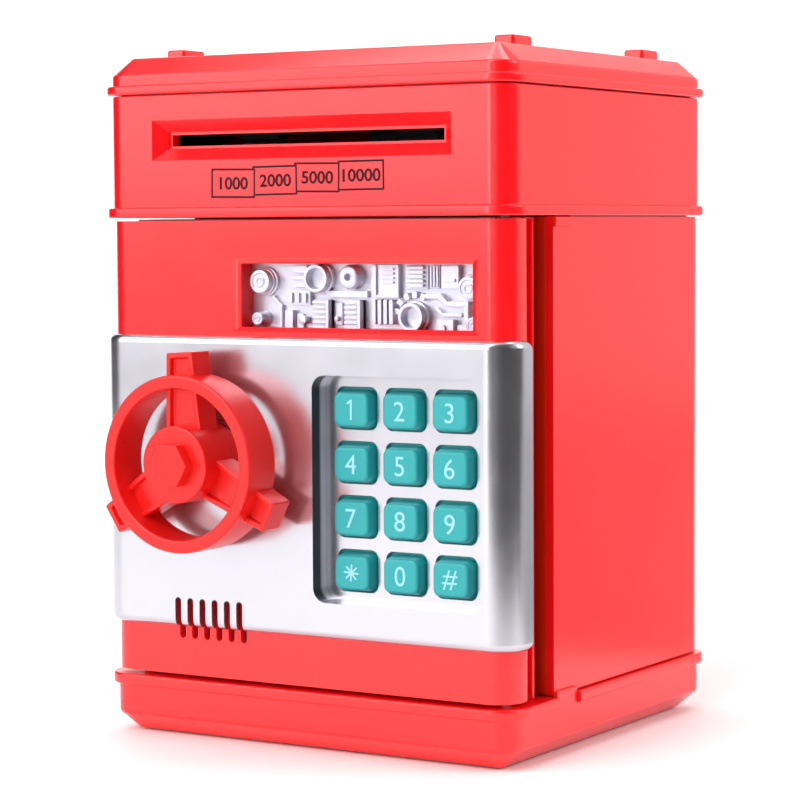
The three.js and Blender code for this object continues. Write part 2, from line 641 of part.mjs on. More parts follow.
function ventSlots(y0, y1) {
  const slots = [];
  for (let i = 0; i < VENT.count; i++) {
    const x = -MID_HALF + VENT.fromLeft + i * VENT.pitch;
    const z0 = PLATE_Z0 + VENT.abovePlateBottom;
    const outline = rectangle(x - VENT.w / 2, z0, x + VENT.w / 2, z0 + VENT.h, VENT.w / 2.02);
    slots.push(panel(outline, y0, y1, 3));
  }
  return slots;
}

function keyPlace(index) {
  const column = index % 3;
  const row = Math.floor(index / 3);
  return [
    RECESS_X - KEYS_OFF.left + (column - 1) * (KEY.w + KEY.besideNext),
    RECESS_Z - KEYS_OFF.down + (1.5 - row) * (KEY.h + KEY.aboveNext),
  ];
}

function keyOutline([x, z], grow) {
  const w = KEY.w / 2 + grow;
  const h = KEY.h / 2 + grow;
  return rectangle(x - w, z - h, x + w, z + h, KEY.r + grow);
}

function faceplate() {
  const sideEnd = MID_FRONT + PLATE_SIDE_D;
  const outer = wrapOutline(MID_HALF + PLATE_OUT, PLATE_Y, CORNER_R + PLATE_OUT, sideEnd);
  const inner = wrapOutline(MID_HALF + FIT, MID_FRONT - FIT, CORNER_R + FIT, sideEnd + 1);
  const skin = cut(
    raise(outer, PLATE_Z0, PLATE_Z1),
    raise(inner, PLATE_Z0 - 1, PLATE_Z1 + 1),
  );
  const wall = RECESS.floorT;
  const box = (grow) => rectangle(
    RECESS_X0 - grow, RECESS_Z - RECESS.h / 2 - grow,
    RECESS_X1 + grow, RECESS_Z + RECESS.h / 2 + grow, RECESS.r + grow,
  );
  const tub = panel(box(wall), PLATE_Y + 0.5, FLOOR_Y + wall);
  const recess = panel(box(0), PLATE_Y - 1, FLOOR_Y);
  const keyHoles = KEY_LABELS.map((label, index) =>
    panel(keyOutline(keyPlace(index), KEY.gap), FLOOR_Y - 1, FLOOR_Y + wall + 1, 3),
  );
  const through = [PLATE_Y - 1, MID_FRONT + 1];
  return cut(
    join(skin, tub), recess, keyHoles,
    barY(WHEEL_X, WHEEL_Z, SPINDLE_R + 1, ...through), ventSlots(...through),
  );
}

const FLANGE_Y = FLOOR_Y + RECESS.floorT + FIT;
const MEMBRANE_Y = FLANGE_Y + KEY_FLANGE.t + KEY_TRAVEL + FIT;
const BOARD_Y = MEMBRANE_Y + MEMBRANE_T + FIT;

function keyCap(index) {
  const place = keyPlace(index);
  const cap = panel(keyOutline(place, 0), PLATE_Y + KEY.sunk, FLANGE_Y + KEY_FLANGE.t, 3);
  const [x, z] = place;
  const w = KEY.w / 2 + KEY.gap + KEY_FLANGE.out;
  const h = KEY.h / 2 + KEY.gap + KEY_FLANGE.out;
  const flange = block([x - w, FLANGE_Y, z - h], [x + w, FLANGE_Y + KEY_FLANGE.t, z + h]);
  return join(cap, flange);
}

function keypadSheet(y, t, inset) {
  const w = RECESS.w / 2 - inset;
  const h = RECESS.h / 2 - inset;
  return panel(rectangle(RECESS_X - w, RECESS_Z - h, RECESS_X + w, RECESS_Z + h, 1), y, y + t, 2);
}

const LENS_Y = MID_FRONT + WINDOW.lensIn;

function windowLens() {
  const outline = rectangle(
    WINDOW_X0 + FIT, WINDOW_Z0 + FIT, WINDOW_X1 - FIT, WINDOW_Z1 - FIT, 1);
  return panel(outline, LENS_Y, LENS_Y + WINDOW.lensT, 3);
}

function windowRelief() {
  const y = LENS_Y + WINDOW.lensT + FIT + 0.3;
  const plate = block(
    [WINDOW_X0 - RELIEF_EDGE, y + RELIEF_T - RELIEF_PLATE_T, WINDOW_Z0 - RELIEF_EDGE],
    [WINDOW_X1 + RELIEF_EDGE, y + RELIEF_T, WINDOW_Z1 + RELIEF_EDGE],
  );
  const middleZ = (WINDOW_Z0 + WINDOW_Z1) / 2;
  const raised = [];
  const bosses = 6;
  for (let i = 0; i < bosses; i++) {
    const x = WINDOW_X0 + ((i + 0.5) * WINDOW.w) / bosses;
    const z = middleZ + (i % 2 === 0 ? 1 : -1) * WINDOW.h * 0.2;
    raised.push(barY(x, z, WINDOW.h * 0.22, y, y + RELIEF_T, 4));
  }
  return join(plate, raised);
}

const COVER_X0 = -MID_HALF + WALL + FIT;
const COVER_X1 = HINGE.x - FIT;
const COVER_Z0 = DOOR_Z0 + WALL + FIT;
const COVER_Z1 = DOOR_Z1 - WALL - FIT;
const SCREW_LEFT_X = COVER_X0 + 15;
const SCREW_RIGHT_X = RECESS_X0 + 18;
const SCREW_LOW_Z = RECESS_Z - RECESS.h / 2 - 9;
const SCREW_HIGH_Z = (RECESS_Z + RECESS.h / 2 + RECESS.floorT + WINDOW_Z0 - RELIEF_EDGE) / 2;
const DOOR_SCREWS = [
  [SCREW_LEFT_X, SCREW_LOW_Z],
  [SCREW_RIGHT_X, SCREW_LOW_Z],
  [SCREW_LEFT_X, SCREW_HIGH_Z],
  [SCREW_RIGHT_X, SCREW_HIGH_Z],
];
const CASE_Y1 = COVER_BACK_Y + LOCK_CASE.depth;

// ---------- Latch behind the door ----------

const PINION_R = (PINION.module * PINION.teeth) / 2;
const PINION_Y = COVER_BACK_Y + PINION.back;
const DISC_Y = PINION_Y + PINION.t + FIT;
const RACK_Z = WHEEL_Z - PINION_R;
const BAR_TOP = RACK_Z - 1.25 * PINION.module;
const BOLT_Y = PINION_Y + (PINION.t - BOLT.t) / 2;

function caseBlock(grow, y0, y1) {
  return block(
    [WHEEL_X - LOCK_CASE.left - grow, y0, WHEEL_Z - LOCK_CASE.half - grow],
    [WHEEL_X + LOCK_CASE.right + grow, y1, WHEEL_Z + LOCK_CASE.half + grow],
  );
}

// Back cover of the door, with pads behind the circuit board and the walls of the latch case.
function doorBackCover() {
  const plate = panel(rectangle(COVER_X0, COVER_Z0, COVER_X1, COVER_Z1, 1.5),
    COVER_FRONT_Y, COVER_BACK_Y, 2);
  const walls = cut(
    caseBlock(0, COVER_BACK_Y - 0.5, CASE_Y1),
    caseBlock(-LOCK_CASE.wall, COVER_BACK_Y, CASE_Y1 + 1),
  );
  const padHalf = 3;
  const pads = [RECESS_X0 + 8, RECESS_X1 - 8].map((x) => block(
    [x - padHalf, BOARD_Y + BOARD_T + FIT, RECESS_Z - padHalf],
    [x + padHalf, COVER_FRONT_Y + 0.5, RECESS_Z + padHalf]));
  const boltGap = 0.4;
  const boltSlot = block(
    [WHEEL_X - LOCK_CASE.left - 1, BOLT_Y - boltGap, BAR_TOP - BOLT.barH - boltGap],
    [WHEEL_X - LOCK_CASE.left + 3, BOLT_Y + BOLT.t + boltGap, BAR_TOP + boltGap],
  );
  const screwHoles = DOOR_SCREWS.map(([x, z]) =>
    barY(x, z, SCREW.shankR + FIT, COVER_FRONT_Y - 1, COVER_BACK_Y + 1, 4),
  );
  const barrelRoom = [
    barZ(HINGE.x, HINGE.y, HINGE_R + FIT, DOOR_Z0, DOOR_Z0 + BARREL_H + FIT, 8),
    barZ(HINGE.x, HINGE.y, HINGE_R + FIT, DOOR_Z1 - BARREL_H - FIT, DOOR_Z1, 8),
  ];
  return cut(join(plate, walls, pads), boltSlot, screwHoles, barrelRoom,
    barY(WHEEL_X, WHEEL_Z, SPINDLE_R + 0.6, COVER_FRONT_Y - 1, COVER_BACK_Y + 1));
}

function lockCover() {
  return cut(
    caseBlock(0, CASE_Y1 + FIT, CASE_Y1 + FIT + BACK_COVER_T),
    barY(WHEEL_X, WHEEL_Z, SPINDLE_TIP_R + 0.6, CASE_Y1, CASE_Y1 + 2 * BACK_COVER_T + 1),
  );
}

function spokeOutline(index) {
  const angle = ((90 + SPOKE.phase + (index * 360) / SPOKE.count) * Math.PI) / 180;
  const along = new THREE.Vector2(Math.cos(angle), Math.sin(angle));
  const across = new THREE.Vector2(-along.y, along.x);
  const startR = HUB.r * 0.7;
  const corners = [
    [startR, -SPOKE.hubHalf], [SPOKE.reach, -SPOKE.endHalf],
    [SPOKE.reach, SPOKE.endHalf], [startR, SPOKE.hubHalf],
  ];
  return new THREE.Shape(corners.map(([r, side]) => new THREE.Vector2(WHEEL_X, WHEEL_Z)
    .addScaledVector(along, r).addScaledVector(across, side)));
}

const HUB_BORE_D = 10;

function handwheel() {
  const ringShape = circle(WHEEL_X, WHEEL_Z, RING.outer);
  ringShape.holes.push(new THREE.Path().absarc(WHEEL_X, WHEEL_Z, RING.inner, 0, 2 * Math.PI));
  const ring = panel(ringShape, RING_FRONT, RING_BACK, 24);
  const spokes = [];
  for (let i = 0; i < SPOKE.count; i++) {
    spokes.push(panel(spokeOutline(i), RING_BACK - SPOKE.t, RING_BACK));
  }
  const hub = barY(WHEEL_X, WHEEL_Z, HUB.r, HUB_FRONT, PLATE_Y - HUB.gap, 16);
  const boss = panel(polygon(WHEEL_X, WHEEL_Z, BOSS.r, 6), HUB_FRONT - BOSS.h, HUB_FRONT + 0.5);
  const bore = barY(WHEEL_X, WHEEL_Z, SPINDLE_R + FIT, PLATE_Y - HUB_BORE_D, PLATE_Y);
  return cut(join(ring, spokes, hub, boss), bore);
}

function wheelSpindle() {
  const shoulder = PINION_Y - FIT;
  const end = DISC_Y + LOCK_DISC.t + 1.4;
  return join(
    barY(WHEEL_X, WHEEL_Z, SPINDLE_R, PLATE_Y - HUB_BORE_D + FIT, shoulder, 8),
    barY(WHEEL_X, WHEEL_Z, SPINDLE_TIP_R, shoulder - 1, end, 6),
  );
}

// Pinion and lock disc in one moulding; the disc has a notch for each end of the turn.
function latchPinion() {
  const toothDown = -Math.PI / 2;
  const gear = panel(
    gearOutline(WHEEL_X, WHEEL_Z, PINION.module, PINION.teeth, toothDown),
    PINION_Y, DISC_Y + 0.2);
  const disc = barY(WHEEL_X, WHEEL_Z, LOCK_DISC.r, DISC_Y, DISC_Y + LOCK_DISC.t, 10);
  const half = LOCK_DISC.notchW / 2;
  const inner = LOCK_DISC.r - LOCK_DISC.notchD;
  const outer = LOCK_DISC.r + 2;
  const yRange = [DISC_Y - 0.2, DISC_Y + LOCK_DISC.t + 1];
  const notches = [
    block([WHEEL_X + inner, yRange[0], WHEEL_Z - half],
      [WHEEL_X + outer, yRange[1], WHEEL_Z + half]),
    block([WHEEL_X - half, yRange[0], WHEEL_Z + inner],
      [WHEEL_X + half, yRange[1], WHEEL_Z + outer]),
  ];
  const bore = barY(WHEEL_X, WHEEL_Z, SPINDLE_TIP_R + FIT, PINION_Y - 1, DISC_Y + LOCK_DISC.t + 1, 6);
  return cut(join(gear, disc), notches, bore);
}

// Sliding bolt with a rack along its top edge; a rack space faces the pinion tooth at rest.
function latchBolt() {
  const bar = block(
    [WHEEL_X - BOLT.left, BOLT_Y, BAR_TOP - BOLT.barH],
    [WHEEL_X + BOLT.right, BOLT_Y + BOLT.t, BAR_TOP],
  );
  const pitch = Math.PI * PINION.module;
  const teeth = [];
  for (let i = -3; i <= 4; i++) {
    const x = WHEEL_X + (i + 0.5) * pitch;
    const tip = RACK_Z + 0.8 * PINION.module;
    teeth.push(panel(new THREE.Shape([
      new THREE.Vector2(x - 0.3 * pitch, BAR_TOP - 0.3),
      new THREE.Vector2(x + 0.3 * pitch, BAR_TOP - 0.3),
      new THREE.Vector2(x + 0.1 * pitch, tip),
      new THREE.Vector2(x - 0.1 * pitch, tip),
    ]), BOLT_Y, BOLT_Y + BOLT.t));
  }
  return join(bar, teeth);
}

const PLUNGER_Y = DISC_Y + (LOCK_DISC.t - PLUNGER.t) / 2;
const PLUNGER_X = WHEEL_X + LOCK_DISC.r + 0.5;
const SOLENOID_X = PLUNGER_X + PLUNGER.length - 3;

function lockPlunger() {
  const half = PLUNGER.h / 2;
  return block(
    [PLUNGER_X, PLUNGER_Y, WHEEL_Z - half],
    [PLUNGER_X + PLUNGER.length, PLUNGER_Y + PLUNGER.t, WHEEL_Z + half],
  );
}

function lockSolenoid() {
  const half = SOLENOID.h / 2;
  const y0 = PLUNGER_Y + PLUNGER.t / 2 - SOLENOID.t / 2;
  const body = block([SOLENOID_X, y0, WHEEL_Z - half],
    [SOLENOID_X + SOLENOID.length, y0 + SOLENOID.t, WHEEL_Z + half]);
  const bore = block(
    [SOLENOID_X - 1, PLUNGER_Y - FIT, WHEEL_Z - PLUNGER.h / 2 - FIT],
    [PLUNGER_X + PLUNGER.length + 1, PLUNGER_Y + PLUNGER.t + FIT,
      WHEEL_Z + PLUNGER.h / 2 + FIT],
  );
  return cut(body, bore);
}

function doorScrew([x, z]) {
  const headY = COVER_BACK_Y + FIT;
  return join(
    barY(x, z, SCREW.headR, headY, headY + SCREW.headT, 6),
    barY(x, z, SCREW.shankR, headY - SCREW.shank, headY + 0.2, 4),
  );
}

// ---------- Note feeder ----------

const FEED = { y: FRONT + FEED_Y, z: NOTE_Z - ROLLER.r - ROLLER.nip / 2 };
const PINCH = { y: FEED.y, z: NOTE_Z + ROLLER.r + ROLLER.nip / 2 };
const GEAR_CENTRES = (GEAR.module * (GEAR.teeth + GEAR.pinionTeeth)) / 2;
const MOTOR_TURN = (MOTOR_ANGLE * Math.PI) / 180;
const MOTOR_AT = {
  y: FEED.y + GEAR_CENTRES * Math.cos(MOTOR_TURN),
  z: FEED.z + GEAR_CENTRES * Math.sin(MOTOR_TURN),
};
const FEEDER_HALF = HALF - FEEDER.fromSide;
const ROLLER_X = FEEDER_HALF - ROLLER.fromCheek - ROLLER.length / 2;
const GEAR_X = FEEDER_HALF + FEEDER.cheekT + 0.6;
const DECK_Z = SHELF_Z + SHELF_T + FIT;

function feederFrame() {
  const y0 = FRONT + FEEDER.front;
  const y1 = FRONT + FEEDER.back;
  const top = DECK_Z + FEEDER.top;
  const cheeks = [-1, 1].map((side) => {
    const inner = side * FEEDER_HALF;
    const outer = side * (FEEDER_HALF + FEEDER.cheekT);
    return block([Math.min(inner, outer), y0, DECK_Z], [Math.max(inner, outer), y1, top]);
  });
  const deck = block([-FEEDER_HALF - 1, y0, DECK_Z],
    [FEEDER_HALF + 1, DROP_Y[0] - 1, DECK_Z + FEEDER.deckT]);
  const tie = block([-FEEDER_HALF - 1, y1 - 3, top - 3], [FEEDER_HALF + 1, y1, top]);
  const through = [-FEEDER_HALF - FEEDER.cheekT - 1, FEEDER_HALF + FEEDER.cheekT + 1];
  return cut(
    join(cheeks, deck, tie),
    barX(FEED.y, FEED.z, SHAFT_R + FIT, ...through, 6),
    barX(PINCH.y, PINCH.z, SHAFT_R + FIT, ...through, 6),
    barX(MOTOR_AT.y, MOTOR_AT.z, MOTOR.shaftR + FIT, 0, through[1], 6),
  );
}

function feedMotor() {
  const x1 = FEEDER_HALF - FIT;
  const x0 = x1 - MOTOR.w;
  const body = block(
    [x0, MOTOR_AT.y - MOTOR.d / 2, MOTOR_AT.z - MOTOR.h / 2],
    [x1, MOTOR_AT.y + MOTOR.d / 2, MOTOR_AT.z + MOTOR.h / 2],
  );
  const endCap = barX(MOTOR_AT.y, MOTOR_AT.z, MOTOR.d * 0.32, x0 - 1.5, x0 + 0.5, 6);
  const bore = barX(MOTOR_AT.y, MOTOR_AT.z, MOTOR.shaftR + FIT, x1 - 6, x1 + 1, 6);
  return cut(join(body, endCap), bore);
}

function motorPinion() {
  const facing = MOTOR_TURN + Math.PI;
  const gear = slice(
    gearOutline(MOTOR_AT.y, MOTOR_AT.z, GEAR.module, GEAR.pinionTeeth, facing),
    GEAR_X, GEAR_X + GEAR.t);
  const shaft = barX(MOTOR_AT.y, MOTOR_AT.z, MOTOR.shaftR, FEEDER_HALF - 5, GEAR_X + 0.5, 4);
  return join(gear, shaft);
}

function driveGear() {
  const halfTooth = Math.PI / GEAR.teeth;
  const outline = gearOutline(FEED.y, FEED.z, GEAR.module, GEAR.teeth, MOTOR_TURN + halfTooth);
  const gear = slice(outline, GEAR_X, GEAR_X + GEAR.t);
  return cut(gear, barX(FEED.y, FEED.z, SHAFT_R + FIT, GEAR_X - 1, GEAR_X + GEAR.t + 1, 6));
}

function shaft(at, rightEnd) {
  const leftEnd = -FEEDER_HALF - FEEDER.cheekT - 0.8;
  const collarX = [-FEEDER_HALF + FIT + 1, -FEEDER_HALF + FIT + 2.5];
  return join(
    barX(at.y, at.z, SHAFT_R, leftEnd, rightEnd, 5),
    barX(at.y, at.z, SHAFT_R + 1.2, ...collarX, 5),
  );
}

function roller(at, side) {
  const x = side * ROLLER_X;
  const body = barX(at.y, at.z, ROLLER.r, x - ROLLER.length / 2, x + ROLLER.length / 2, 8);
  return cut(body, barX(at.y, at.z, SHAFT_R + FIT, x - ROLLER.length, x + ROLLER.length, 5));
}

// ---------- Assembly ----------

add("base_tray", baseTray(), "red");
add("body_shell", bodyShell(), "red");
add("door_frame", doorFrame(), "red");
add("upper_housing", upperHousing(), "red");
add("top_cover", topCover(), "red");
add("divider_shelf", dividerShelf(), "red");
add("coin_chute", coinChute(), "black");
POST_SPOTS.forEach((spot, i) => add(`base_screw_${i + 1}`, baseScrew(spot), "steel"));

add("battery_box", batteryBox(), "black");
for (let i = 0; i < CELL.count; i++) add(`battery_${i + 1}`, battery(i), "cell");
add("battery_cover", batteryCover(), "red");
add("battery_screw", batteryScrew(), "steel");

add("door_shell", doorShell(), "red");
add("faceplate", faceplate(), "silver");
add("door_back_cover", doorBackCover(), "red");
add("lock_cover", lockCover(), "black");
add("window_lens", windowLens(), "clear");
add("window_relief", windowRelief(), "relief");
KEY_LABELS.forEach((label, i) => add(`key_${label}`, keyCap(i), "teal"));
add("key_membrane", keypadSheet(MEMBRANE_Y, MEMBRANE_T, 1), "rubber");
add("circuit_board", keypadSheet(BOARD_Y, BOARD_T, 0), "board");
const SPEAKER_X = -MID_HALF + VENT.fromLeft + ((VENT.count - 1) * VENT.pitch) / 2;
const SPEAKER_Z = DOOR_Z0 + WALL + FIT + SPEAKER.r + 1;
const SPEAKER_Y = MID_FRONT + WALL + FIT;
add("speaker", barY(SPEAKER_X, SPEAKER_Z, SPEAKER.r, SPEAKER_Y, SPEAKER_Y + SPEAKER.t), "black");
add("hinge_pin_upper", barZ(HINGE.x, HINGE.y, HINGE_PIN_R,
  DOOR_Z1 - HINGE_PIN_IN, HEADER_Z + WALL, 4), "steel");
add("hinge_pin_lower", barZ(HINGE.x, HINGE.y, HINGE_PIN_R,
  BASE_H - WALL, DOOR_Z0 + HINGE_PIN_IN, 4), "steel");
DOOR_SCREWS.forEach((spot, i) => add(`door_screw_${i + 1}`, doorScrew(spot), "steel"));

add("handwheel", handwheel(), "red");
add("wheel_spindle", wheelSpindle(), "steel");
add("latch_pinion", latchPinion(), "nylon");
add("latch_bolt", latchBolt(), "nylon");
add("lock_plunger", lockPlunger(), "steel");
add("lock_solenoid", lockSolenoid(), "black");

add("feeder_frame", feederFrame(), "black");
add("feed_motor", feedMotor(), "steel");
add("motor_pinion", motorPinion(), "nylon");
add("drive_gear", driveGear(), "nylon");
add("feed_shaft", shaft(FEED, GEAR_X + GEAR.t + 1), "steel");
add("pinch_shaft", shaft(PINCH, FEEDER_HALF + FEEDER.cheekT + 0.3), "steel");
for (const [side, word] of [[-1, "left"], [1, "right"]]) {
  add(`feed_roller_${word}`, roller(FEED, side), "rubber");
  add(`pinch_roller_${word}`, roller(PINCH, side), "rubber");
}

export default bank;
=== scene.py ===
import math

import bmesh
import bpy
from mathutils import Matrix, Vector


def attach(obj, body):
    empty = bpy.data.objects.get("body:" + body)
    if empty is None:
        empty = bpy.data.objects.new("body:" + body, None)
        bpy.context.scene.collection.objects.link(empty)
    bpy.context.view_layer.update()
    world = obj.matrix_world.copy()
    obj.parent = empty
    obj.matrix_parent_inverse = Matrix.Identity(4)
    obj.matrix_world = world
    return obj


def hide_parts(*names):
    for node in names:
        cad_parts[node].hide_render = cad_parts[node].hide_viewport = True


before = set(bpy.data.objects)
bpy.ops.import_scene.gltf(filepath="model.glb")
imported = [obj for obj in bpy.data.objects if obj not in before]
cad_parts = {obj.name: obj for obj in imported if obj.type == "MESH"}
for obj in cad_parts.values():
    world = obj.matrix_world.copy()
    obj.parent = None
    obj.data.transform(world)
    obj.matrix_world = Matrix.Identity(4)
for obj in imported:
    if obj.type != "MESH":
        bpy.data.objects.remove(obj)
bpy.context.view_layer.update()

# ---------- Sizes, in millimetres ----------

# Cabinet. The base, header and cover share one outline; the body between is a little smaller.
HALF, FRONT, BACK = 63.8, -58.0, 58.0
MID_HALF, MID_FRONT, MID_BACK = 63.4, -57.6, 57.6
CORNER_R = 6.8
WALL = 2.2
BEAD = 1.55  # how far the beads stand out
CHAMFER = 5.8
LEDGE_DEEP = 17.0  # from the front, over and under the door
BASE_BEAD_Z, BASE_TOP_Z = 13.2, 16.2
LEDGE_Z, HEADER_LEDGE_Z = 14.0, 144.3  # the base ledge's underside, the header ledge's top
BODY_Z0, BODY_Z1 = 16.5, 141.8
HEADER_Z, COVER_Z, TOP_Z = 142.1, 175.7, 186.0
STRIP_Y, SHELL_Y = -33.6, -22.6  # where the hinge side's strip and the right wall begin
FRAME_Y, STEP_X = -43.0, 49.4  # the door frame's face, and where it steps back to the strip
DOORWAY = (-51.4, 26.5, 31.6, 131.8)  # as the openings below: x0, z0, x1, z1
PEG_X, PEG_HALF, PEG_LONG = 52.35, 3.05, 10.3
PEG_FRONTS = (-39.9, 34.4)
COIN_SLOT = (-15, 6.2, 15, 9.8)  # x0, y0, x1, y1
NOTE_Z, NOTE_HALF, NOTE_HALF_HIGH = 163.05, 43, 1.55
BATTERY_HOLE, BATTERY_COVER = (-22.7, 24.2, 22.7, 91.4), (-22.3, 24.6, 22.3, 91.0)
BATTERY_SCREW_Z = 86.45
POST_HALF = 3.6
SCREW_HOLE_R, HEAD_HOLE_R = 1.7, 3.3

# Door
DOOR_Z0, DOOR_Z1, DOOR_BACK = 17.3, 141.3, -43.6
HINGE_X, HINGE_Y, HINGE_R = 57.8, -49.2, 5.6
PIN_HOLE_R = 1.8
WINDOW = (-19.2, 112.8, 52.4, 129.8)
RELIEF_BACK, RELIEF_TOP = -50.6, -54.6
LENS_FRONT, LENS_BACK, LENS_PLAY = -56.3, -55.3, 0.3
PLATE_Y, PLATE_BACK, PLATE_Z0, PLATE_Z1 = -59.7, -48.6, 30.7, 110.35
PLATE_OUT = 2.1  # how far the faceplate stands outside the door
RECESS, RECESS_Y = (5.3, 40.475, 57.2, 100.575), -53.3
KEYS_X, KEYS_Z, PITCH_X, PITCH_Z = 30.45, 70.025, 15.05, 14.35
KEY_FACE_Y, KEY_BACK_Y = PLATE_Y + 3.0, -51.6
KEY_HALF_WIDE, KEY_HALF_HIGH, KEY_CORNER_R = 5.75, 5.0, 2.2
FLANGE_HALF_WIDE, FLANGE_HALF_HIGH = 7.25, 6.4
KEY_SIGN_HIGH, KEY_SIGN_DEPTH = 5.4, 0.14
KEY_NAMES = ("1", "2", "3", "4", "5", "6", "7", "8", "9", "star", "0", "hash")
CAPITAL = 0.73  # height of a capital letter in the built-in font, as a share of its size
PRINT_Y = FRONT - 0.03
VENT_X, VENT_STEP, VENTS = -MID_HALF + 24.6, 4.05, 6
VENT_Z0, VENT_Z1 = 27.3, 38.8
DOOR_SCREWS = [(x, z) for z in (31.475, 106.64) for x in (-45.9, 23.3)]

# Handwheel
WHEEL_X, WHEEL_Z = -26.9, 76.9
RING_BACK, RING_FRONT = -64.1, -76.7
RING_R_IN, RING_R_OUT = 20.2, 23.7
HUB_FRONT, HUB_R, NUT_R = -77.3, 10.35, 6.35
FIRST_SPOKE = 93.4  # degrees
SPINDLE_HOLE_R = 4

# Screws: where along their axis the head's face and the tip lie
BASE_SCREW = (0.6, 15.0)
BATTERY_SCREW = (57.0, 48.5)
DOOR_SCREW = (-42.0, -50.6)

FAR = 80  # past the sides of the object
SHARP = math.radians(40)  # edges past this angle stay crisp

# ---------- Outlines ----------


def arc(cx, cy, r, start, end, n=10):
    turns = [math.radians(start + (end - start) * i / n) for i in range(n + 1)]
    return [(cx + r * math.cos(t), cy + r * math.sin(t)) for t in turns]


def rounded(x0, y0, x1, y1, r=0.0, n=10):
    """A rectangle with its corners rounded."""
    if r <= 0:
        return [(x0, y0), (x1, y0), (x1, y1), (x0, y1)]
    return (
        arc(x1 - r, y0 + r, r, -90, 0, n)
        + arc(x1 - r, y1 - r, r, 0, 90, n)
        + arc(x0 + r, y1 - r, r, 90, 180, n)
        + arc(x0 + r, y0 + r, r, 180, 270, n)
    )


def circle(x, y, r, n=48):
    return arc(x, y, r, 0, 360 - 360 / n, n - 1)


def plan(half, front, back, grow):
    r = max(CORNER_R + grow, 0.5)
    return rounded(-half - grow, front - grow, half + grow, back + grow, r, 12)


def cabinet(grow=0.0):
    return plan(HALF, FRONT, BACK, grow)


def middle(grow=0.0):
    return plan(MID_HALF, MID_FRONT, MID_BACK, grow)


def wrap(half, front, r, back, n=14):
    """An outline round the front with both front corners rounded, open-cornered at the back."""
    left = arc(-half + r, front + r, r, 180, 270, n)
    right = arc(half - r, front + r, r, 270, 360, n)
    return [(-half, back)] + left + right + [(half, back)]


def fillet(points, n=4):
    """A line of (a, b, radius) points with its inner corners rounded."""
    out = []
    for i, (x, y, r) in enumerate(points):
        if r == 0 or i in (0, len(points) - 1):
            out.append((x, y))
            continue
        c = Vector((x, y))
        d0 = (Vector(points[i - 1][:2]) - c).normalized()
        d1 = (Vector(points[i + 1][:2]) - c).normalized()
        half = d0.angle(d1) / 2
        centre = c + (d0 + d1).normalized() * (r / math.sin(half))
        s = c + d0 * (r / math.tan(half)) - centre
        e = c + d1 * (r / math.tan(half)) - centre
        a0 = math.atan2(s.y, s.x)
        sweep = (math.atan2(e.y, e.x) - a0 + math.pi) % (2 * math.pi) - math.pi
        for k in range(n + 1):
            t = a0 + sweep * k / n
            out.append((centre.x + r * math.cos(t), centre.y + r * math.sin(t)))
    return out


# ---------- Solids ----------


def linked(name, data):
    obj = bpy.data.objects.new(name, data)
    bpy.context.scene.collection.objects.link(obj)
    return obj


def solid(name, verts, faces):
    mesh = bpy.data.meshes.new(name)
    mesh.from_pydata([tuple(v) for v in verts], [], faces)
    bm = bmesh.new()
    bm.from_mesh(mesh)
    bmesh.ops.remove_doubles(bm, verts=bm.verts, dist=1e-5)
    bmesh.ops.recalc_face_normals(bm, faces=bm.faces)
    bm.to_mesh(mesh)
    bm.free()
    return linked(name, mesh)


def loft(name, rings, closed=False):
    """A solid through rings of equal counts: capped at both ends, or closed on itself."""
    n = len(rings[0])
    verts = [v for ring in rings for v in ring]
    faces = []
    last = len(rings) if closed else len(rings) - 1
    for i in range(last):
        a, b = i * n, ((i + 1) % len(rings)) * n
        for k in range(n):
            m = (k + 1) % n
            faces.append((a + k, a + m, b + m, b + k))
    if not closed:
        faces.append(tuple(range(n)))
        faces.append(tuple(range((len(rings) - 1) * n, len(rings) * n)))
    return solid(name, verts, faces)


def place(axis, u, v, w):
    """The point at w along the axis, with u and v across it."""
    return {"z": (u, v, w), "y": (u, w, v), "x": (w, u, v)}[axis]


def prism(outline, lo, hi, axis="z"):
    return loft("prism", [[place(axis, u, v, w) for u, v in outline] for w in (lo, hi)])


def box(x0, y0, z0, x1, y1, z1):
    return prism(rounded(x0, y0, x1, y1), z0, z1)


def swing(degrees):
    """A turn about Y, counted anticlockwise as seen from the front."""
    return Matrix.Rotation(math.radians(-degrees), 4, "Y")


def turned(profile, x, z, n=72):
    """A profile of (radius, y) turned about a line along Y; it starts and ends on the axis."""
    rings = []
    for r, y in profile:
        ring = [(x + max(r, 1e-4) * math.cos(t), y, z + max(r, 1e-4) * math.sin(t))
                for t in (2 * math.pi * k / n for k in range(n))]
        rings.append(ring)
    return loft("turned", rings)


def bake(obj):
    """Puts the object's modifiers into its mesh."""
    graph = bpy.context.evaluated_depsgraph_get()
    mesh = bpy.data.meshes.new_from_object(obj.evaluated_get(graph))
    old = obj.data
    obj.modifiers.clear()
    obj.data = mesh
    bpy.data.meshes.remove(old)
    return obj


def combine(obj, tool, operation):
    """A boolean; the exact solver steps in where the quick one leaves nothing."""
    before = obj.data.copy()
    for solver in ("MANIFOLD", "EXACT"):
        modifier = obj.modifiers.new("combine", "BOOLEAN")
        modifier.operation = operation
        modifier.solver = solver
        modifier.object = tool
        bake(obj)
        if len(obj.data.polygons) > 3:
            break
        obj.data = before.copy()
    bpy.data.meshes.remove(before)
    bpy.data.objects.remove(tool)
    return obj


def add(obj, *tools):
    for tool in tools:
        combine(obj, tool, "UNION")
    return obj


def cut(obj, *tools):
    for tool in tools:
        combine(obj, tool, "DIFFERENCE")
    return obj


def keep(obj, tool):
    return combine(obj, tool, "INTERSECT")


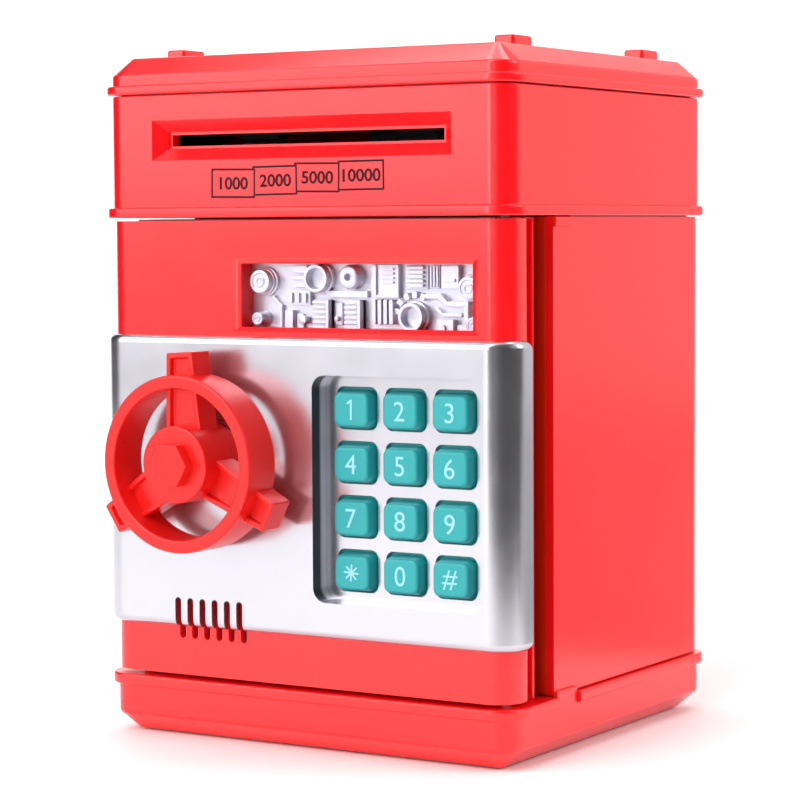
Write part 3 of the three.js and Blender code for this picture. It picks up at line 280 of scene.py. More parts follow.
def tidy(obj):
    """Merges doubled points and the flat faces that booleans leave split."""
    bm = bmesh.new()
    bm.from_mesh(obj.data)
    bmesh.ops.remove_doubles(bm, verts=bm.verts, dist=1e-3)
    flat = math.radians(0.8)
    bmesh.ops.dissolve_limit(bm, angle_limit=flat, verts=bm.verts, edges=bm.edges)
    bm.to_mesh(obj.data)
    bm.free()


def soften(obj, width, segments=3, angle=38):
    """Rounds the edges sharper than the angle."""
    tidy(obj)
    modifier = obj.modifiers.new("soften", "BEVEL")
    modifier.width = width
    modifier.segments = segments
    modifier.limit_method = "ANGLE"
    modifier.angle_limit = math.radians(angle)
    return bake(obj)


def join(name, objs):
    """One object from several meshes, each kept whole."""
    bm = bmesh.new()
    for obj in objs:
        bm.from_mesh(obj.data)
    mesh = bpy.data.meshes.new(name)
    bm.to_mesh(mesh)
    bm.free()
    for obj in objs:
        bpy.data.objects.remove(obj)
    return linked(name, mesh)


def piece(obj, name, body, material, nodes=()):
    """Finishes a piece: metres, material, shading, the body it rides on and what it stands for."""
    obj.name = name
    obj.data.name = name
    obj.data.transform(Matrix.Scale(0.001, 4))
    obj.data.materials.clear()
    obj.data.materials.append(material)
    obj.data.polygons.foreach_set("use_smooth", [True] * len(obj.data.polygons))
    obj.data.set_sharp_from_angle(angle=SHARP)
    modifier = obj.modifiers.new("normals", "WEIGHTED_NORMAL")
    modifier.keep_sharp = True
    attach(obj, body)
    if nodes:
        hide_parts(*nodes)
    return obj


def paint(obj, material, chosen):
    """Gives another material to the faces whose middle (mm) and normal pass the test."""
    obj.data.materials.append(material)
    for face in obj.data.polygons:
        if chosen(face.center * 1000, face.normal):
            face.material_index = len(obj.data.materials) - 1


def look(made, node, body, material):
    """A piece that stands for one node and is named after it."""
    return piece(made, f"{node}_look", body, material, [node])


# ---------- Materials ----------


class Nodes:
    """A small helper that wires one material's node tree."""

    def __init__(self, name):
        self.material = bpy.data.materials.new(name)
        self.material.use_nodes = True
        self.tree = self.material.node_tree
        self.shader = self.tree.nodes["Principled BSDF"]
        self.coord = self.add("ShaderNodeTexCoord").outputs["Object"]

    def add(self, kind, **inputs):
        node = self.tree.nodes.new(kind)
        for key, value in inputs.items():
            node.inputs[key.replace("_", " ")].default_value = value
        return node

    def link(self, a, b):
        self.tree.links.new(a, b)

    def noise(self, scale, detail=3.0, roughness=0.55):
        node = self.add("ShaderNodeTexNoise", Scale=scale, Detail=detail, Roughness=roughness)
        self.link(self.coord, node.inputs["Vector"])
        return node.outputs["Fac"]

    def spread(self, value, low, high, start=0.3, end=0.7):
        node = self.add("ShaderNodeMapRange")
        node.inputs["From Min"].default_value = start
        node.inputs["From Max"].default_value = end
        node.inputs["To Min"].default_value = low
        node.inputs["To Max"].default_value = high
        self.link(value, node.inputs["Value"])
        return node.outputs["Result"]

    def blend(self, factor, a, b):
        node = self.tree.nodes.new("ShaderNodeMix")
        node.data_type = "RGBA"
        self.link(factor, node.inputs["Factor"])
        node.inputs["A"].default_value = (*a, 1)
        node.inputs["B"].default_value = (*b, 1)
        return node.outputs["Result"]

    def bump(self, height, strength, distance):
        node = self.add("ShaderNodeBump", Strength=strength, Distance=distance)
        self.link(height, node.inputs["Height"])
        self.link(node.outputs["Normal"], self.shader.inputs["Normal"])


GRAIN_DEPTH = 0.00004  # metres
FLOW_SCALE, GLOSS_SCALE, GRADED_GLOSS_SCALE = 22.0, 90.0, 140.0


def moulded(name, color, rough, tint=0.05, grain=1800.0, bump=0.12, metal=0.0, spec=0.5):
    """A moulded or painted surface with faint flow marks, uneven gloss and fine grain."""
    m = Nodes(name)
    flow = m.noise(FLOW_SCALE, 4.0)
    deep = tuple(c * (1 - tint) for c in color)
    pale = tuple(min(1.0, c * (1 + tint)) for c in color)
    m.link(m.blend(flow, deep, pale), m.shader.inputs["Base Color"])
    gloss = m.spread(m.noise(GLOSS_SCALE, 2.0), rough * 0.9, rough * 1.1)
    m.link(gloss, m.shader.inputs["Roughness"])
    m.bump(m.noise(grain, 2.0), bump, GRAIN_DEPTH)
    m.shader.inputs["Metallic"].default_value = metal
    m.shader.inputs["Specular IOR Level"].default_value = spec
    return m.material


def graded(name, axis, start, end, first, second, rough, grain, bump, metal=0.0, spec=0.5):
    """A surface that turns from one colour to another along an axis of the object, in metres."""
    m = Nodes(name)
    where = m.add("ShaderNodeSeparateXYZ")
    m.link(m.coord, where.inputs[0])
    share = m.spread(where.outputs[axis], 0.0, 1.0, start, end)
    m.link(m.blend(share, first, second), m.shader.inputs["Base Color"])
    m.link(m.spread(m.noise(GRADED_GLOSS_SCALE, 5.0), *rough), m.shader.inputs["Roughness"])
    m.shader.inputs["Metallic"].default_value = metal
    m.shader.inputs["Specular IOR Level"].default_value = spec
    m.bump(m.noise(grain, 2.0), bump, GRAIN_DEPTH)
    return m.material


RED = moulded("red_plastic", (0.93, 0.006, 0.010), 0.20,
              tint=0.03, grain=900.0, bump=0.04, spec=0.7)
RED_GLOSS = moulded("red_wheel_plastic", (0.80, 0.010, 0.008), 0.30,
                    tint=0.04, grain=900.0, bump=0.05, spec=0.45)
SILVER = moulded("silver_lacquer", (0.63, 0.62, 0.67), 0.21,
                 tint=0.03, grain=900.0, bump=0.03, metal=0.95)
RELIEF = moulded("silver_relief_lacquer", (0.72, 0.71, 0.79), 0.36,
                 tint=0.06, grain=2400.0, bump=0.15, metal=0.7)
TEAL = moulded("teal_plastic", (0.012, 0.33, 0.345), 0.38, tint=0.08, grain=900.0, bump=0.06)
DIGIT = moulded("digit_ink", (0.28, 0.62, 0.66), 0.45, tint=0.04)
INK = moulded("dark_ink", (0.03, 0.002, 0.005), 0.6, tint=0.15, spec=0.2)
STEEL = moulded("plated_steel", (0.62, 0.62, 0.64), 0.28,
                tint=0.08, grain=2600.0, bump=0.2, metal=1.0)
RUBBER = moulded("black_rubber", (0.03, 0.03, 0.032), 0.75, tint=0.3, bump=0.5)
BLACK = moulded("black_plastic", (0.035, 0.035, 0.038), 0.42, tint=0.2, bump=0.3)
NYLON = moulded("nylon", (0.80, 0.77, 0.68), 0.45, tint=0.06, bump=0.2)
BOARD = moulded("circuit_board_green", (0.02, 0.16, 0.06), 0.4, tint=0.4, grain=900.0)
CELL = moulded("battery_sleeve", (0.03, 0.07, 0.30), 0.3, tint=0.2, metal=0.3)

# Painted shade on the keypad recess's left wall: dark near the front edge, where the wall lies in
# shade, turning to silver near the floor.
SILVER_PAINTED_SHADE = graded("keypad_wall_painted_shade", "Y", -0.0563, -0.0552,
                      (0.028, 0.045, 0.06), (0.60, 0.60, 0.66),
                      (0.35, 0.45), grain=2400.0, bump=0.1, metal=0.5)
# The cabinet's red with painted shade: it darkens to brown toward the inner end of the groove
# behind the hinge edge, where shade falls.
GROOVE_PAINTED_SHADE = graded("red_groove_painted_shade", "X", 0.050, 0.0632,
                (0.05, 0.007, 0.0), (0.85, 0.018, 0.0),
                (0.4, 0.5), grain=900.0, bump=0.05, spec=0.25)


def clear_plastic():
    m = Nodes("clear_plastic")
    m.shader.inputs["Base Color"].default_value = (0.97, 0.97, 0.99, 1)
    m.shader.inputs["Transmission Weight"].default_value = 1.0
    m.shader.inputs["IOR"].default_value = 1.02
    m.link(m.spread(m.noise(60.0), 0.0, 0.03), m.shader.inputs["Roughness"])
    m.bump(m.noise(200.0), 0.02, 0.00002)
    return m.material


CLEAR = clear_plastic()

# ---------- Cabinet ----------


def rings_of(outline, profile):
    return [[(x, y, z) for x, y in outline(grow)] for grow, z in profile]


def tube(x, y, outer, inner, z0, z1):
    bore = prism(circle(x, y, inner, 24), z0 - 1, z1 + 1)
    return cut(prism(circle(x, y, outer, 32), z0, z1), bore)


def pin_hole(z0, z1):
    return prism(circle(HINGE_X, HINGE_Y, PIN_HOLE_R, 24), z0, z1)


def ledge(z0, z1):
    """The flat over or under the door."""
    reach = box(-FAR, FRONT + 0.4, z0 - 10, FAR, FRONT + LEDGE_DEEP, z1 + 10)
    return keep(prism(cabinet(-1), z0, z1), reach)


def skirt(outline, z0, z1):
    """A collar that drops inside the moulding below."""
    return cut(prism(outline(-2.5), z0, z1), prism(outline(-4.0), z0 - 1, z1 + 1))


def post_spots():
    fronts = (SHELL_Y + 12, MID_BACK - 14)
    return [(side * (MID_HALF - 10), y) for side in (-1, 1) for y in fronts]


def base_tray():
    profile = fillet([
        (-12, 0, 0), (-CHAMFER, 0, 1.2), (0, 5.05, 1.6), (0, BASE_BEAD_Z, 0.3),
        (BEAD, BASE_BEAD_Z, 0.6), (BEAD, BASE_TOP_Z, 0.6), (-WALL, BASE_TOP_Z, 0.3),
        (-WALL, 7.2, 1), (-8, WALL, 1), (-14, WALL, 0),
    ])
    tray = loft("tray", rings_of(cabinet, profile))
    under_hinge = box(45, FRONT + 16, LEDGE_Z, MID_HALF, STRIP_Y + 0.5, BASE_TOP_Z)
    add(tray, ledge(LEDGE_Z, BASE_TOP_Z), under_hinge)
    cut(tray, pin_hole(13, 18))
    # The bead stops short where the lower hinge plate passes it.
    cut(tray, box(HALF + 0.05, STRIP_Y - 0.2, 12.9, 70, SHELL_Y + 0.6, 18))
    for x, y in post_spots():
        cut(tray, prism(circle(x, y, HEAD_HOLE_R, 32), -1, 2.5))
        add(tray, tube(x, y, 4.6, SCREW_HOLE_R, 1.6, 8.1))
    return tray


def header():
    profile = [
        (BEAD, HEADER_Z, 0.5), (BEAD, 144.8, 0.6), (0, 144.9, 0.25), (0, 175.4, 0.3),
        (-WALL, 175.4, 0.3), (-WALL, HEADER_LEDGE_Z, 0.5), (-4.7, HEADER_LEDGE_Z, 0.3),
        (-4.7, HEADER_Z, 0.3),
    ]
    around = fillet([profile[-1], *profile, profile[0]])[1:-1]
    shell = loft("header", rings_of(cabinet, around), closed=True)
    throat = box(-46, FRONT + 0.8, NOTE_Z - 4.6, 46, FRONT + 7, NOTE_Z + 4.6)
    collar = cut(skirt(middle, 138.1, 143.5), box(-FAR, -FAR, 130, FAR, SHELL_Y + 3, 160))
    add(shell, ledge(HEADER_Z, HEADER_LEDGE_Z), throat, collar)
    slot = box(-NOTE_HALF, FRONT - 1, NOTE_Z - NOTE_HALF_HIGH,
               NOTE_HALF, FRONT + 9, NOTE_Z + NOTE_HALF_HIGH)
    cut(shell, pin_hole(140, 146), note_funnel(), slot)
    return shell


def note_funnel():
    """The sunk frame of the note slot: levels of depth, half width and half height."""
    levels = ((-1, 48.6, 6.9), (0, 47.2, 5.48), (3.2, 43.9, 2.3), (3.8, 43.9, 2.3))
    z = NOTE_Z + 0.03
    return loft("funnel", [[(x, FRONT + deep, z + up) for x, up in rounded(-w, -h, w, h)]
                           for deep, w, h in levels])


def top_cover():
    profile = fillet([
        (-14, 183.8, 0), (-8, 183.8, 1), (-WALL, 179, 1), (-WALL, COVER_Z, 0.3),
        (BEAD, COVER_Z, 0.6), (BEAD, 178.1, 0.6), (0, 178.2, 0.2), (0, 180.95, 1.4),
        (-CHAMFER, TOP_Z, 1.4), (-12, TOP_Z, 0),
    ])
    cover = loft("cover", rings_of(cabinet, profile))
    add(cover, skirt(cabinet, 171.7, 180))
    for side in (-1, 1):
        for y in PEG_FRONTS:
            add(cover, peg(side * PEG_X, y))
    # A shallow dish round the coin slot guides a coin into it.
    x0, y0, x1, y1 = COIN_SLOT
    levels = ((2.4, TOP_Z + 0.4), (2.0, TOP_Z), (0.6, TOP_Z - 0.8), (0.6, TOP_Z - 1.0))
    dish = loft("dish", [[(x, y, z) for x, y in rounded(x0 - g, y0 - g, x1 + g, y1 + g, 1 + g, 6)]
                         for g, z in levels])
    cut(cover, dish, prism(rounded(*COIN_SLOT, 1.0, 6), 180, 190))
    return cover


def peg(x, y):
    levels = [(0.0, TOP_Z - 0.6), (0.0, 188.1), (-0.12, 188.5), (-0.4, 188.72), (-0.8, 188.8)]

    def outline(g):
        return rounded(x - PEG_HALF - g, y - g, x + PEG_HALF + g, y + PEG_LONG + g, 1.1 + g, 5)

    return loft("peg", rings_of(outline, levels))


def body_shell():
    shell = prism(middle(), BODY_Z0, BODY_Z1)
    cut(shell, prism(middle(-WALL), 10, 150), box(0, -FAR, 0, FAR, STRIP_Y, 200))
    cut(shell, box(-FAR, -FAR, 0, 1, FRAME_Y, 200))
    cut(shell, prism(rounded(*BATTERY_HOLE, 2), 50, 62, "y"))
    for x, y in post_spots():
        s = 1 if x > 0 else -1
        foot, head = ((x - s * POST_HALF, end) for end in (s * 61.1, s * (MID_HALF - WALL / 2)))
        post = box(min(head), y - POST_HALF, BODY_Z0, max(head), y + POST_HALF, 28.5)
        add(post, box(min(foot), y - POST_HALF, 8.4, max(foot), y + POST_HALF, 20))
        add(shell, post)
        cut(shell, prism(circle(x, y, SCREW_HOLE_R, 24), 0, 16.1))
    return soften(shell, 0.3)


def door_frame():
    made = box(-MID_HALF + WALL, FRAME_Y, BODY_Z0, STEP_X + WALL, FRAME_Y + WALL, BODY_Z1)
    add(made, box(STEP_X, FRAME_Y, BODY_Z0, STEP_X + WALL, STRIP_Y + WALL, BODY_Z1))
    add(made, box(STEP_X, STRIP_Y, BODY_Z0, MID_HALF - WALL, STRIP_Y + WALL, BODY_Z1))
    cut(made, prism(rounded(*DOORWAY, 3, 6), FRAME_Y - 1, FRAME_Y + WALL + 1, "y"))
    for low, high in ((BODY_Z0, BODY_Z0 + 2.6), (BODY_Z1 - 2.6, BODY_Z1)):
        add(made, box(51.1, -42.6, low, 57.8, -32.6, high))
    soften(made, 0.3)
    # A thin rib behind the hinge edge, just clear of the faceplate's edge as the door swings.
    rib = rounded(50.0, HINGE_Y + 8.6, 61.0, HINGE_Y + 9.7, 0.5, 5)
    add(made, prism(rib, BODY_Z0 + 0.2, BODY_Z1 - 0.2))
    # Hinge plates, a little proud of the side.
    plates = [soften(box(61.0, STRIP_Y + 0.05, 139.2, 64.2, -24.0, 141.85), 0.25),
              soften(box(63.0, STRIP_Y + 0.05, 13.0, 64.4, SHELL_Y + 0.4, 17.6), 0.25)]
    return join("frame", [made, *plates])


def battery_cover():
    made = prism(rounded(*BATTERY_COVER, 1.6, 6), 55.6, 57.6, "y")
    add(made, prism(circle(0, BATTERY_SCREW_Z, 4.2, 32), 53.4, 57.0, "y"))
    for k in range(6):
        z = 30 + 2.4 * k
        cut(made, prism(rounded(-9, z, 9, z + 1.1, 0.54, 5), 56.9, 58, "y"))
    arrow = [(0, 48.5), (4.2, 53.4), (1.6, 53.4), (1.6, 58), (-1.6, 58), (-1.6, 53.4),
             (-4.2, 53.4)]
    cut(made, prism(arrow, 57.1, 58, "y"))
    cut(made, prism(circle(0, BATTERY_SCREW_Z, HEAD_HOLE_R, 32), 55.1, 58, "y"))
    cut(made, prism(circle(0, BATTERY_SCREW_Z, SCREW_HOLE_R, 24), 50, 58, "y"))
    return soften(made, 0.25)


def screw(x, y, z, axis, head, tip):
    """A pan-head screw with a cross recess; head and tip are places along the axis."""
    s = 1 if tip > head else -1
    a, b = (x, y) if axis == "z" else (x, z)
    levels = [(2.2, head), (2.75, head + s * 0.2), (3.0, head + s * 0.6), (3.0, head + s * 1.6),
              (1.25, head + s * 1.6), (1.4, head + s * 2.2), (1.3, tip - s * 1.2), (0.4, tip)]
    made = loft("screw", [[place(axis, u, v, w) for u, v in circle(a, b, r, 32)]
                          for r, w in levels])
    for w, h in ((1.7, 0.32), (0.32, 1.7)):
        lo, hi = sorted((head - s * 0.2, head + s * 0.9))
        cut(made, prism(rounded(a - w, b - h, a + w, b + h), lo, hi, axis))
    return made


look(base_tray(), "base_tray", "cabinet", RED)
look(header(), "upper_housing", "cabinet", RED)
look(top_cover(), "top_cover", "cabinet", RED)
look(body_shell(), "body_shell", "cabinet", RED)
frame_look = look(door_frame(), "door_frame", "cabinet", RED)
# Painted shade: the faces inside the groove take the red that darkens toward the groove's inner
# end.
paint(frame_look, GROOVE_PAINTED_SHADE, lambda c, n: c.x > 48 and HINGE_Y + 9.3 < c.y < STRIP_Y + 0.4)
# Painted shade: the undersides of the hinge plates are darkened with the same material.
paint(frame_look, GROOVE_PAINTED_SHADE, lambda c, n: c.x > 61 and n.z < -0.5)
look(battery_cover(), "battery_cover", "cabinet", RED)
for i, (px, py) in enumerate(post_spots(), 1):
    look(screw(px, py, 0, "z", *BASE_SCREW), f"base_screw_{i}", "cabinet", STEEL)
look(screw(0, 0, BATTERY_SCREW_Z, "y", *BATTERY_SCREW), "battery_screw", "cabinet", STEEL)


def note_marks():
    """Four overlapping framed note values printed under the note slot."""
    half, high, line = 7.15, 3.95, 0.55
    marks = ((-20.4, 151.2, -0.8, "1000"), (-7.0, 151.8, 0.6, "2000"),
             (6.3, 152.4, -0.8, "5000"), (20.0, 152.8, 0.4, "10000"))
    frames, words = [], []
    for k, (x, z, tilt, text) in enumerate(marks):
        mark = prism(rounded(-half, -high, half, high), PRINT_Y, FRONT + 0.1, "y")
        inside = rounded(-half + line, -high + line, half - line, high - line)
        cut(mark, prism(inside, FRONT - 1, FRONT + 1, "y"))
        if k:
            u, v = marks[k - 1][0] - x, marks[k - 1][1] - z
            hidden = rounded(u - half - 0.05, v - high, u + half, v + high)
            cut(mark, prism(hidden, FRONT - 2, FRONT + 2, "y"))
        mark.data.transform(Matrix.Translation((x, 0, z)) @ swing(tilt))
        frames.append(mark)
        words.append(lettering(text, x + 0.2, z, PRINT_Y, 3.3, tilt, 0.13, 0.12, wide=1.12))
    return join("marks", frames + words)


def lettering(text, x, z, y, height, tilt=0.0, depth=0.1, heavy=0.0, shear=0.0, wide=1.0):
    """Flat lettering facing the front, its capitals that high, centred on x and z."""
    curve = bpy.data.curves.new("lettering", "FONT")
    curve.body = text
    curve.size = height / CAPITAL
    curve.align_x = "CENTER"
    curve.align_y = "CENTER"
    curve.extrude = depth / 2
    curve.offset = heavy
    curve.shear = shear
    curve.resolution_u = 6
    written = linked("lettering", curve)
    bpy.context.view_layer.update()
    graph = bpy.context.evaluated_depsgraph_get()
    mesh = bpy.data.meshes.new_from_object(written.evaluated_get(graph))
    bpy.data.objects.remove(written)
    xs = [v.co.x for v in mesh.vertices]
    ys = [v.co.y for v in mesh.vertices]
    mesh.transform(Matrix.Translation((-(min(xs) + max(xs)) / 2, -(min(ys) + max(ys)) / 2, 0)))
    stand = Matrix.Rotation(math.radians(90), 4, "X") @ Matrix.Diagonal((wide, 1, 1, 1))
    mesh.transform(Matrix.Translation((x, y + depth / 2, z)) @ swing(tilt) @ stand)
    return linked("lettering", mesh)


piece(note_marks(), "note_value_print", "cabinet", INK)

# ---------- Door ----------


def front_corners(r, n):
    """The door's two rounded front corners, left then right."""
    x, y = MID_HALF - CORNER_R, MID_FRONT + CORNER_R
    return arc(-x, y, r, 180, 270, n) + arc(x, y, r, 270, 360, n)


def door_shell():
    outline = [(-MID_HALF, DOOR_BACK)] + front_corners(CORNER_R, 12)
    outline += arc(HINGE_X, HINGE_Y, HINGE_R, 0, 90, 12)
    made = prism(outline, DOOR_Z0, DOOR_Z1)
    inner = [(-MID_HALF + WALL, DOOR_BACK + 1)] + front_corners(CORNER_R - WALL, 8)
    inner += arc(HINGE_X, HINGE_Y, HINGE_R - WALL, 0, 90, 8) + [(HINGE_X, DOOR_BACK + 1)]
    cut(made, prism(inner, DOOR_Z0 + WALL, DOOR_Z1 - WALL))
    for low, high in ((DOOR_Z0 + 0.5, DOOR_Z0 + 9), (DOOR_Z1 - 9, DOOR_Z1 - 0.5)):
        add(made, prism(circle(HINGE_X, HINGE_Y, HINGE_R - 0.02, 48), low, high))
    cut(made, pin_hole(DOOR_Z0 - 1, DOOR_Z0 + 6.8), pin_hole(DOOR_Z1 - 6.8, DOOR_Z1 + 1))
    # Openings through the front wall, the faceplate's tub and spindle behind them.
    before, behind = MID_FRONT - 1, MID_FRONT + 3.2
    x0, z0, x1, z1 = RECESS
    cut(made, prism(rounded(x0 - 1.7, z0 - 1.7, x1 + 1.7, z1 + 1.7, 5.3, 6), before, behind, "y"))
    cut(made, prism(circle(WHEEL_X, WHEEL_Z, SPINDLE_HOLE_R, 32), before, behind, "y"))
    x0, z0, x1, z1 = WINDOW
    add(made, box(x0 - 2.6, MID_FRONT + 0.5, z0 - 1.8, x1 + 2.6, MID_FRONT + 3.4, z1 + 2.6))
    add(made, box(x0 - 1.2, MID_FRONT + 2, z0 - 1.2, x1 + 1.2, MID_FRONT + 6.8, z1 + 1.2))
    levels = [((x0 - 2.4 - g, z0 - 1.2 - g, x1 + 2.4 + g, z1 + 2.0 + g), y)
              for g, y in ((1.0, before), (0.0, MID_FRONT))]
    levels += [(WINDOW, MID_FRONT + 1.3), (WINDOW, MID_FRONT + 8)]
    cut(made, loft("funnel", [[(x, y, z) for x, z in rounded(*edges)] for edges, y in levels]))
    cut(made, *vents(before, behind))
    return soften(made, 0.4)


def vents(y0, y1):
    return [prism(rounded(x - 1, VENT_Z0, x + 1, VENT_Z1, 0.98, 6), y0, y1, "y")
            for x in (VENT_X + VENT_STEP * k for k in range(VENTS))]


def faceplate():
    half, r = MID_HALF + PLATE_OUT, CORNER_R + PLATE_OUT
    turns = [math.pi / 2 * k / 6 for k in range(7)]
    edge = [(-2.0 * (1 - math.sin(t)), 2.2 * (1 - math.cos(t))) for t in turns]
    levels = [(g, PLATE_Z0 + h) for g, h in edge]
    levels += [(g, PLATE_Z1 - h) for g, h in reversed(edge)]
    made = loft("plate", [[(x, y, z) for x, y in wrap(half + g, PLATE_Y - g, r + g, PLATE_BACK)]
                          for g, z in levels])
    side = prism(rounded(-70, PLATE_Z0, PLATE_BACK, PLATE_Z1, 3.0, 8), -FAR, FAR, "x")
    keep(made, side)
    cut(made, prism(wrap(MID_HALF + 0.3, MID_FRONT - 0.3, CORNER_R + 0.3, -40), 20, 120))
    x0, z0, x1, z1 = RECESS
    tub = rounded(x0 - 1.4, z0 - 1.4, x1 + 1.4, z1 + 1.4, 5.0, 8)
    add(made, prism(tub, PLATE_Y + 0.6, RECESS_Y + 1.4, "y"))
    cut(made, prism(rounded(*RECESS, 3.8, 10), PLATE_Y - 1, RECESS_Y, "y"))
    for key in range(len(KEY_NAMES)):
        x, z = key_place(key)
        hole = rounded(x - 6.3, z - 5.5, x + 6.3, z + 5.9, 2.1, 6)
        cut(made, prism(hole, RECESS_Y - 1, RECESS_Y + 2, "y"))
    spindle_hole = circle(WHEEL_X, WHEEL_Z, SPINDLE_HOLE_R, 32)
    cut(made, prism(spindle_hole, PLATE_Y - 1, MID_FRONT + 1, "y"))
    cut(made, *vents(PLATE_Y - 1, MID_FRONT + 1))
    return soften(made, 0.4, 3, 50)


def key_place(index):
    return KEYS_X + (index % 3 - 1) * PITCH_X, KEYS_Z + (1.5 - index // 3) * PITCH_Z


def key_cap(index):
    """A keycap with a rounded face, on a flange behind the faceplate; levels of (growth, y)."""
    x, z = key_place(index)
    face = KEY_FACE_Y
    levels = [(0.0, -51.4), (0.0, RECESS_Y), (-0.42, face + 0.9), (-0.5, face + 0.6),
              (-0.68, face + 0.3), (-0.98, face + 0.08), (-1.4, face), (-2.4, face + 0.02),
              (-3.6, face + 0.05)]
    rings = []
    for g, y in levels:
        w, h, r = KEY_HALF_WIDE + g, KEY_HALF_HIGH + g * 0.9, max(KEY_CORNER_R + g * 0.5, 0.5)
        rings.append([(a, y, b) for a, b in rounded(x - w, z - h, x + w, z + h, r, 8)])
    w, h = FLANGE_HALF_WIDE, FLANGE_HALF_HIGH
    flange = box(x - w, KEY_BACK_Y, z - h, x + w, KEY_BACK_Y + 0.8, z + h)
    return join("key", [loft("cap", rings), flange])


def one(x, z, y):
    """The digit 1: an upright with a short flag at its top left."""
    outline = [(0.5, -2.7), (0.5, 2.7), (0.1, 2.7), (-1.15, 1.8), (-0.9, 1.35),
               (-0.05, 1.9), (-0.05, -2.7)]
    return prism([(x + u, z + w) for u, w in outline], y, y + 0.1, "y")


def star(x, z, y):
    """Four bars across each other."""
    bars = []
    for k in range(4):
        bar = prism(rounded(-0.24, -2.3, 0.24, 2.3, 0.2, 3), y, y + 0.1, "y")
        bar.data.transform(Matrix.Translation((x, 0, z)) @ swing(-45 * k - 4))
        bars.append(bar)
    return add(*bars)


def window_relief():
    """A moulded picture of machinery behind the window; heights count from the back plate."""
    back, top = RELIEF_BACK, RELIEF_TOP
    sunk, foot = back + 0.3, back + 0.2
    x0, z0, x1, z1 = WINDOW
    parts = [box(x0 - 1.5, back, z0 - 1.5, x1 + 1.5, back + 2, z1 + 1.5)]

    def slab(x0, z0, x1, z1, height, r=0.25):
        shape = prism(rounded(x0, z0, x1, z1, r, 3), back - height, sunk, "y")
        parts.append(soften(shape, 0.14, 2))

    def post(x, z, steps):
        """A turned boss through steps of (radius, y), its edges slightly rounded."""
        edges = [(r, y, 0.12) for r, y in steps]
        profile = [(0, sunk, 0), *edges, (0, steps[-1][1], 0)]
        parts.append(turned(fillet(profile, 2), x, z, 36))

    def pipe(path, width, height):
        for (xa, za), (xb, zb) in zip(path, path[1:]):
            long = math.hypot(xb - xa, zb - za)
            bar = prism(rounded(0, -width / 2, long, width / 2), back - height, sunk, "y")
            turn = Matrix.Rotation(-math.atan2(zb - za, xb - xa), 4, "Y")
            bar.data.transform(Matrix.Translation((xa, 0, za)) @ turn)
            parts.append(soften(bar, 0.22, 3))
        for x, z in path:
            post(x, z, [(width / 2, foot), (width / 2, back - height + 0.05)])

    # Stacked discs at the left and right ends
    discs = ((-14.6, 124.9, 3.1), (-15.4, 115.0, 1.7), (49.8, 123.6, 2.9), (51.2, 114.2, 1.9))
    for x, z, r in discs:
        post(x, z, [(r * 1.28, foot), (r * 1.28, back - 0.9), (r * 1.12, back - 0.95),
                    (r * 1.12, back - 1.7), (r, back - 1.75), (r, top + 0.1), (r * 0.74, top),
                    (r * 0.7, top + 0.35), (r * 0.5, top + 0.35), (r * 0.46, top + 0.05),
                    (r * 0.28, top + 0.05), (r * 0.25, top + 0.3)])
    # Open tubes
    for x, z, r in ((3.2, 125.8, 3.7), (32.6, 115.9, 3.7)):
        post(x, z, [(r + 0.5, foot), (r + 0.5, back - 1.4), (r, back - 1.5), (r, top),
                    (r * 0.76, top), (r * 0.72, back - 1.2), (r * 0.3, back - 1.0)])
    post(13.4, 126.2, [(3.3, foot), (3.3, back - 2.2), (2.9, top + 0.3), (2.3, top + 0.1),
                       (1.0, top + 0.1), (0.9, back - 1.6)])
    # Block with three windows, and the plates over it
    slab(-7.2, 118.7, 0.2, 122.6, 1.6)
    for k in range(3):
        slab(-6.5 + 2.2 * k, 119.3, -5.1 + 2.2 * k, 122.0, 2.4)
    slab(-6.4, 125.4, -1.4, 126.4, 1.2)
    slab(-5.6, 127.2, -0.6, 129.2, 1.9)
    slab(-4.9, 123.4, -1.2, 124.4, 1.7)
    slab(-7.8, 112.6, -5.2, 117.3, 1.9)
    slab(-4.4, 112.6, -2.4, 116.4, 1.1)
    post(-1.9, 114.8, [(1.2, foot), (1.2, back - 2.4), (0.5, back - 2.5)])
    pipe([(-9.6, 112.8), (-9.6, 118.4), (-12.0, 120.6)], 1.1, 1.2)
    # Two slatted blocks
    for x in (1.0, 10.9):
        slab(x, 112.3, x + 5.6, 120.2, 1.2)
        slab(x + 4.6, 112.3, x + 5.6, 120.2, 2.7)
        for k in range(6):
            slab(x + 0.3, 112.5 + 1.32 * k, x + 4.4, 113.3 + 1.32 * k, 2.4, 0.15)
    slab(7.6, 113.5, 9.8, 119.4, 0.8)
    post(8.6, 115.2, [(0.7, foot), (0.7, back - 2.0), (0.3, back - 2.1)])
    slab(5.0, 120.8, 18.0, 122.6, 1.4)
    # Plate with slots, over four upright ribs
    slab(19.4, 120.8, 27.8, 129.5, 1.7)
    for k in range(4):
        slab(23.2, 124.6 + 1.15 * k, 26.6, 125.2 + 1.15 * k, 2.3, 0.2)
    slab(20.1, 121.6, 21.3, 129.2, 2.4)
    for k in range(4):
        slab(20.0 + 1.75 * k, 113.9, 21.2 + 1.75 * k, 120.4, 2.5, 0.4)
    # Ribbed coil
    slab(29.6, 123.2, 36.4, 129.2, 1.0)
    for k in range(5):
        slab(30.4, 123.7 + 1.15 * k, 35.6, 124.5 + 1.15 * k, 2.3, 0.3)
    # Fins round the lower tube
    for angle in (65, 90, 115, 140, 165):
        fin = prism(rounded(4.9, -0.75, 6.7, 0.75, 0.2, 2), back - 1.7, sunk, "y")
        fin.data.transform(Matrix.Translation((32.6, 0, 115.9)) @ swing(angle))
        parts.append(soften(fin, 0.14, 2))
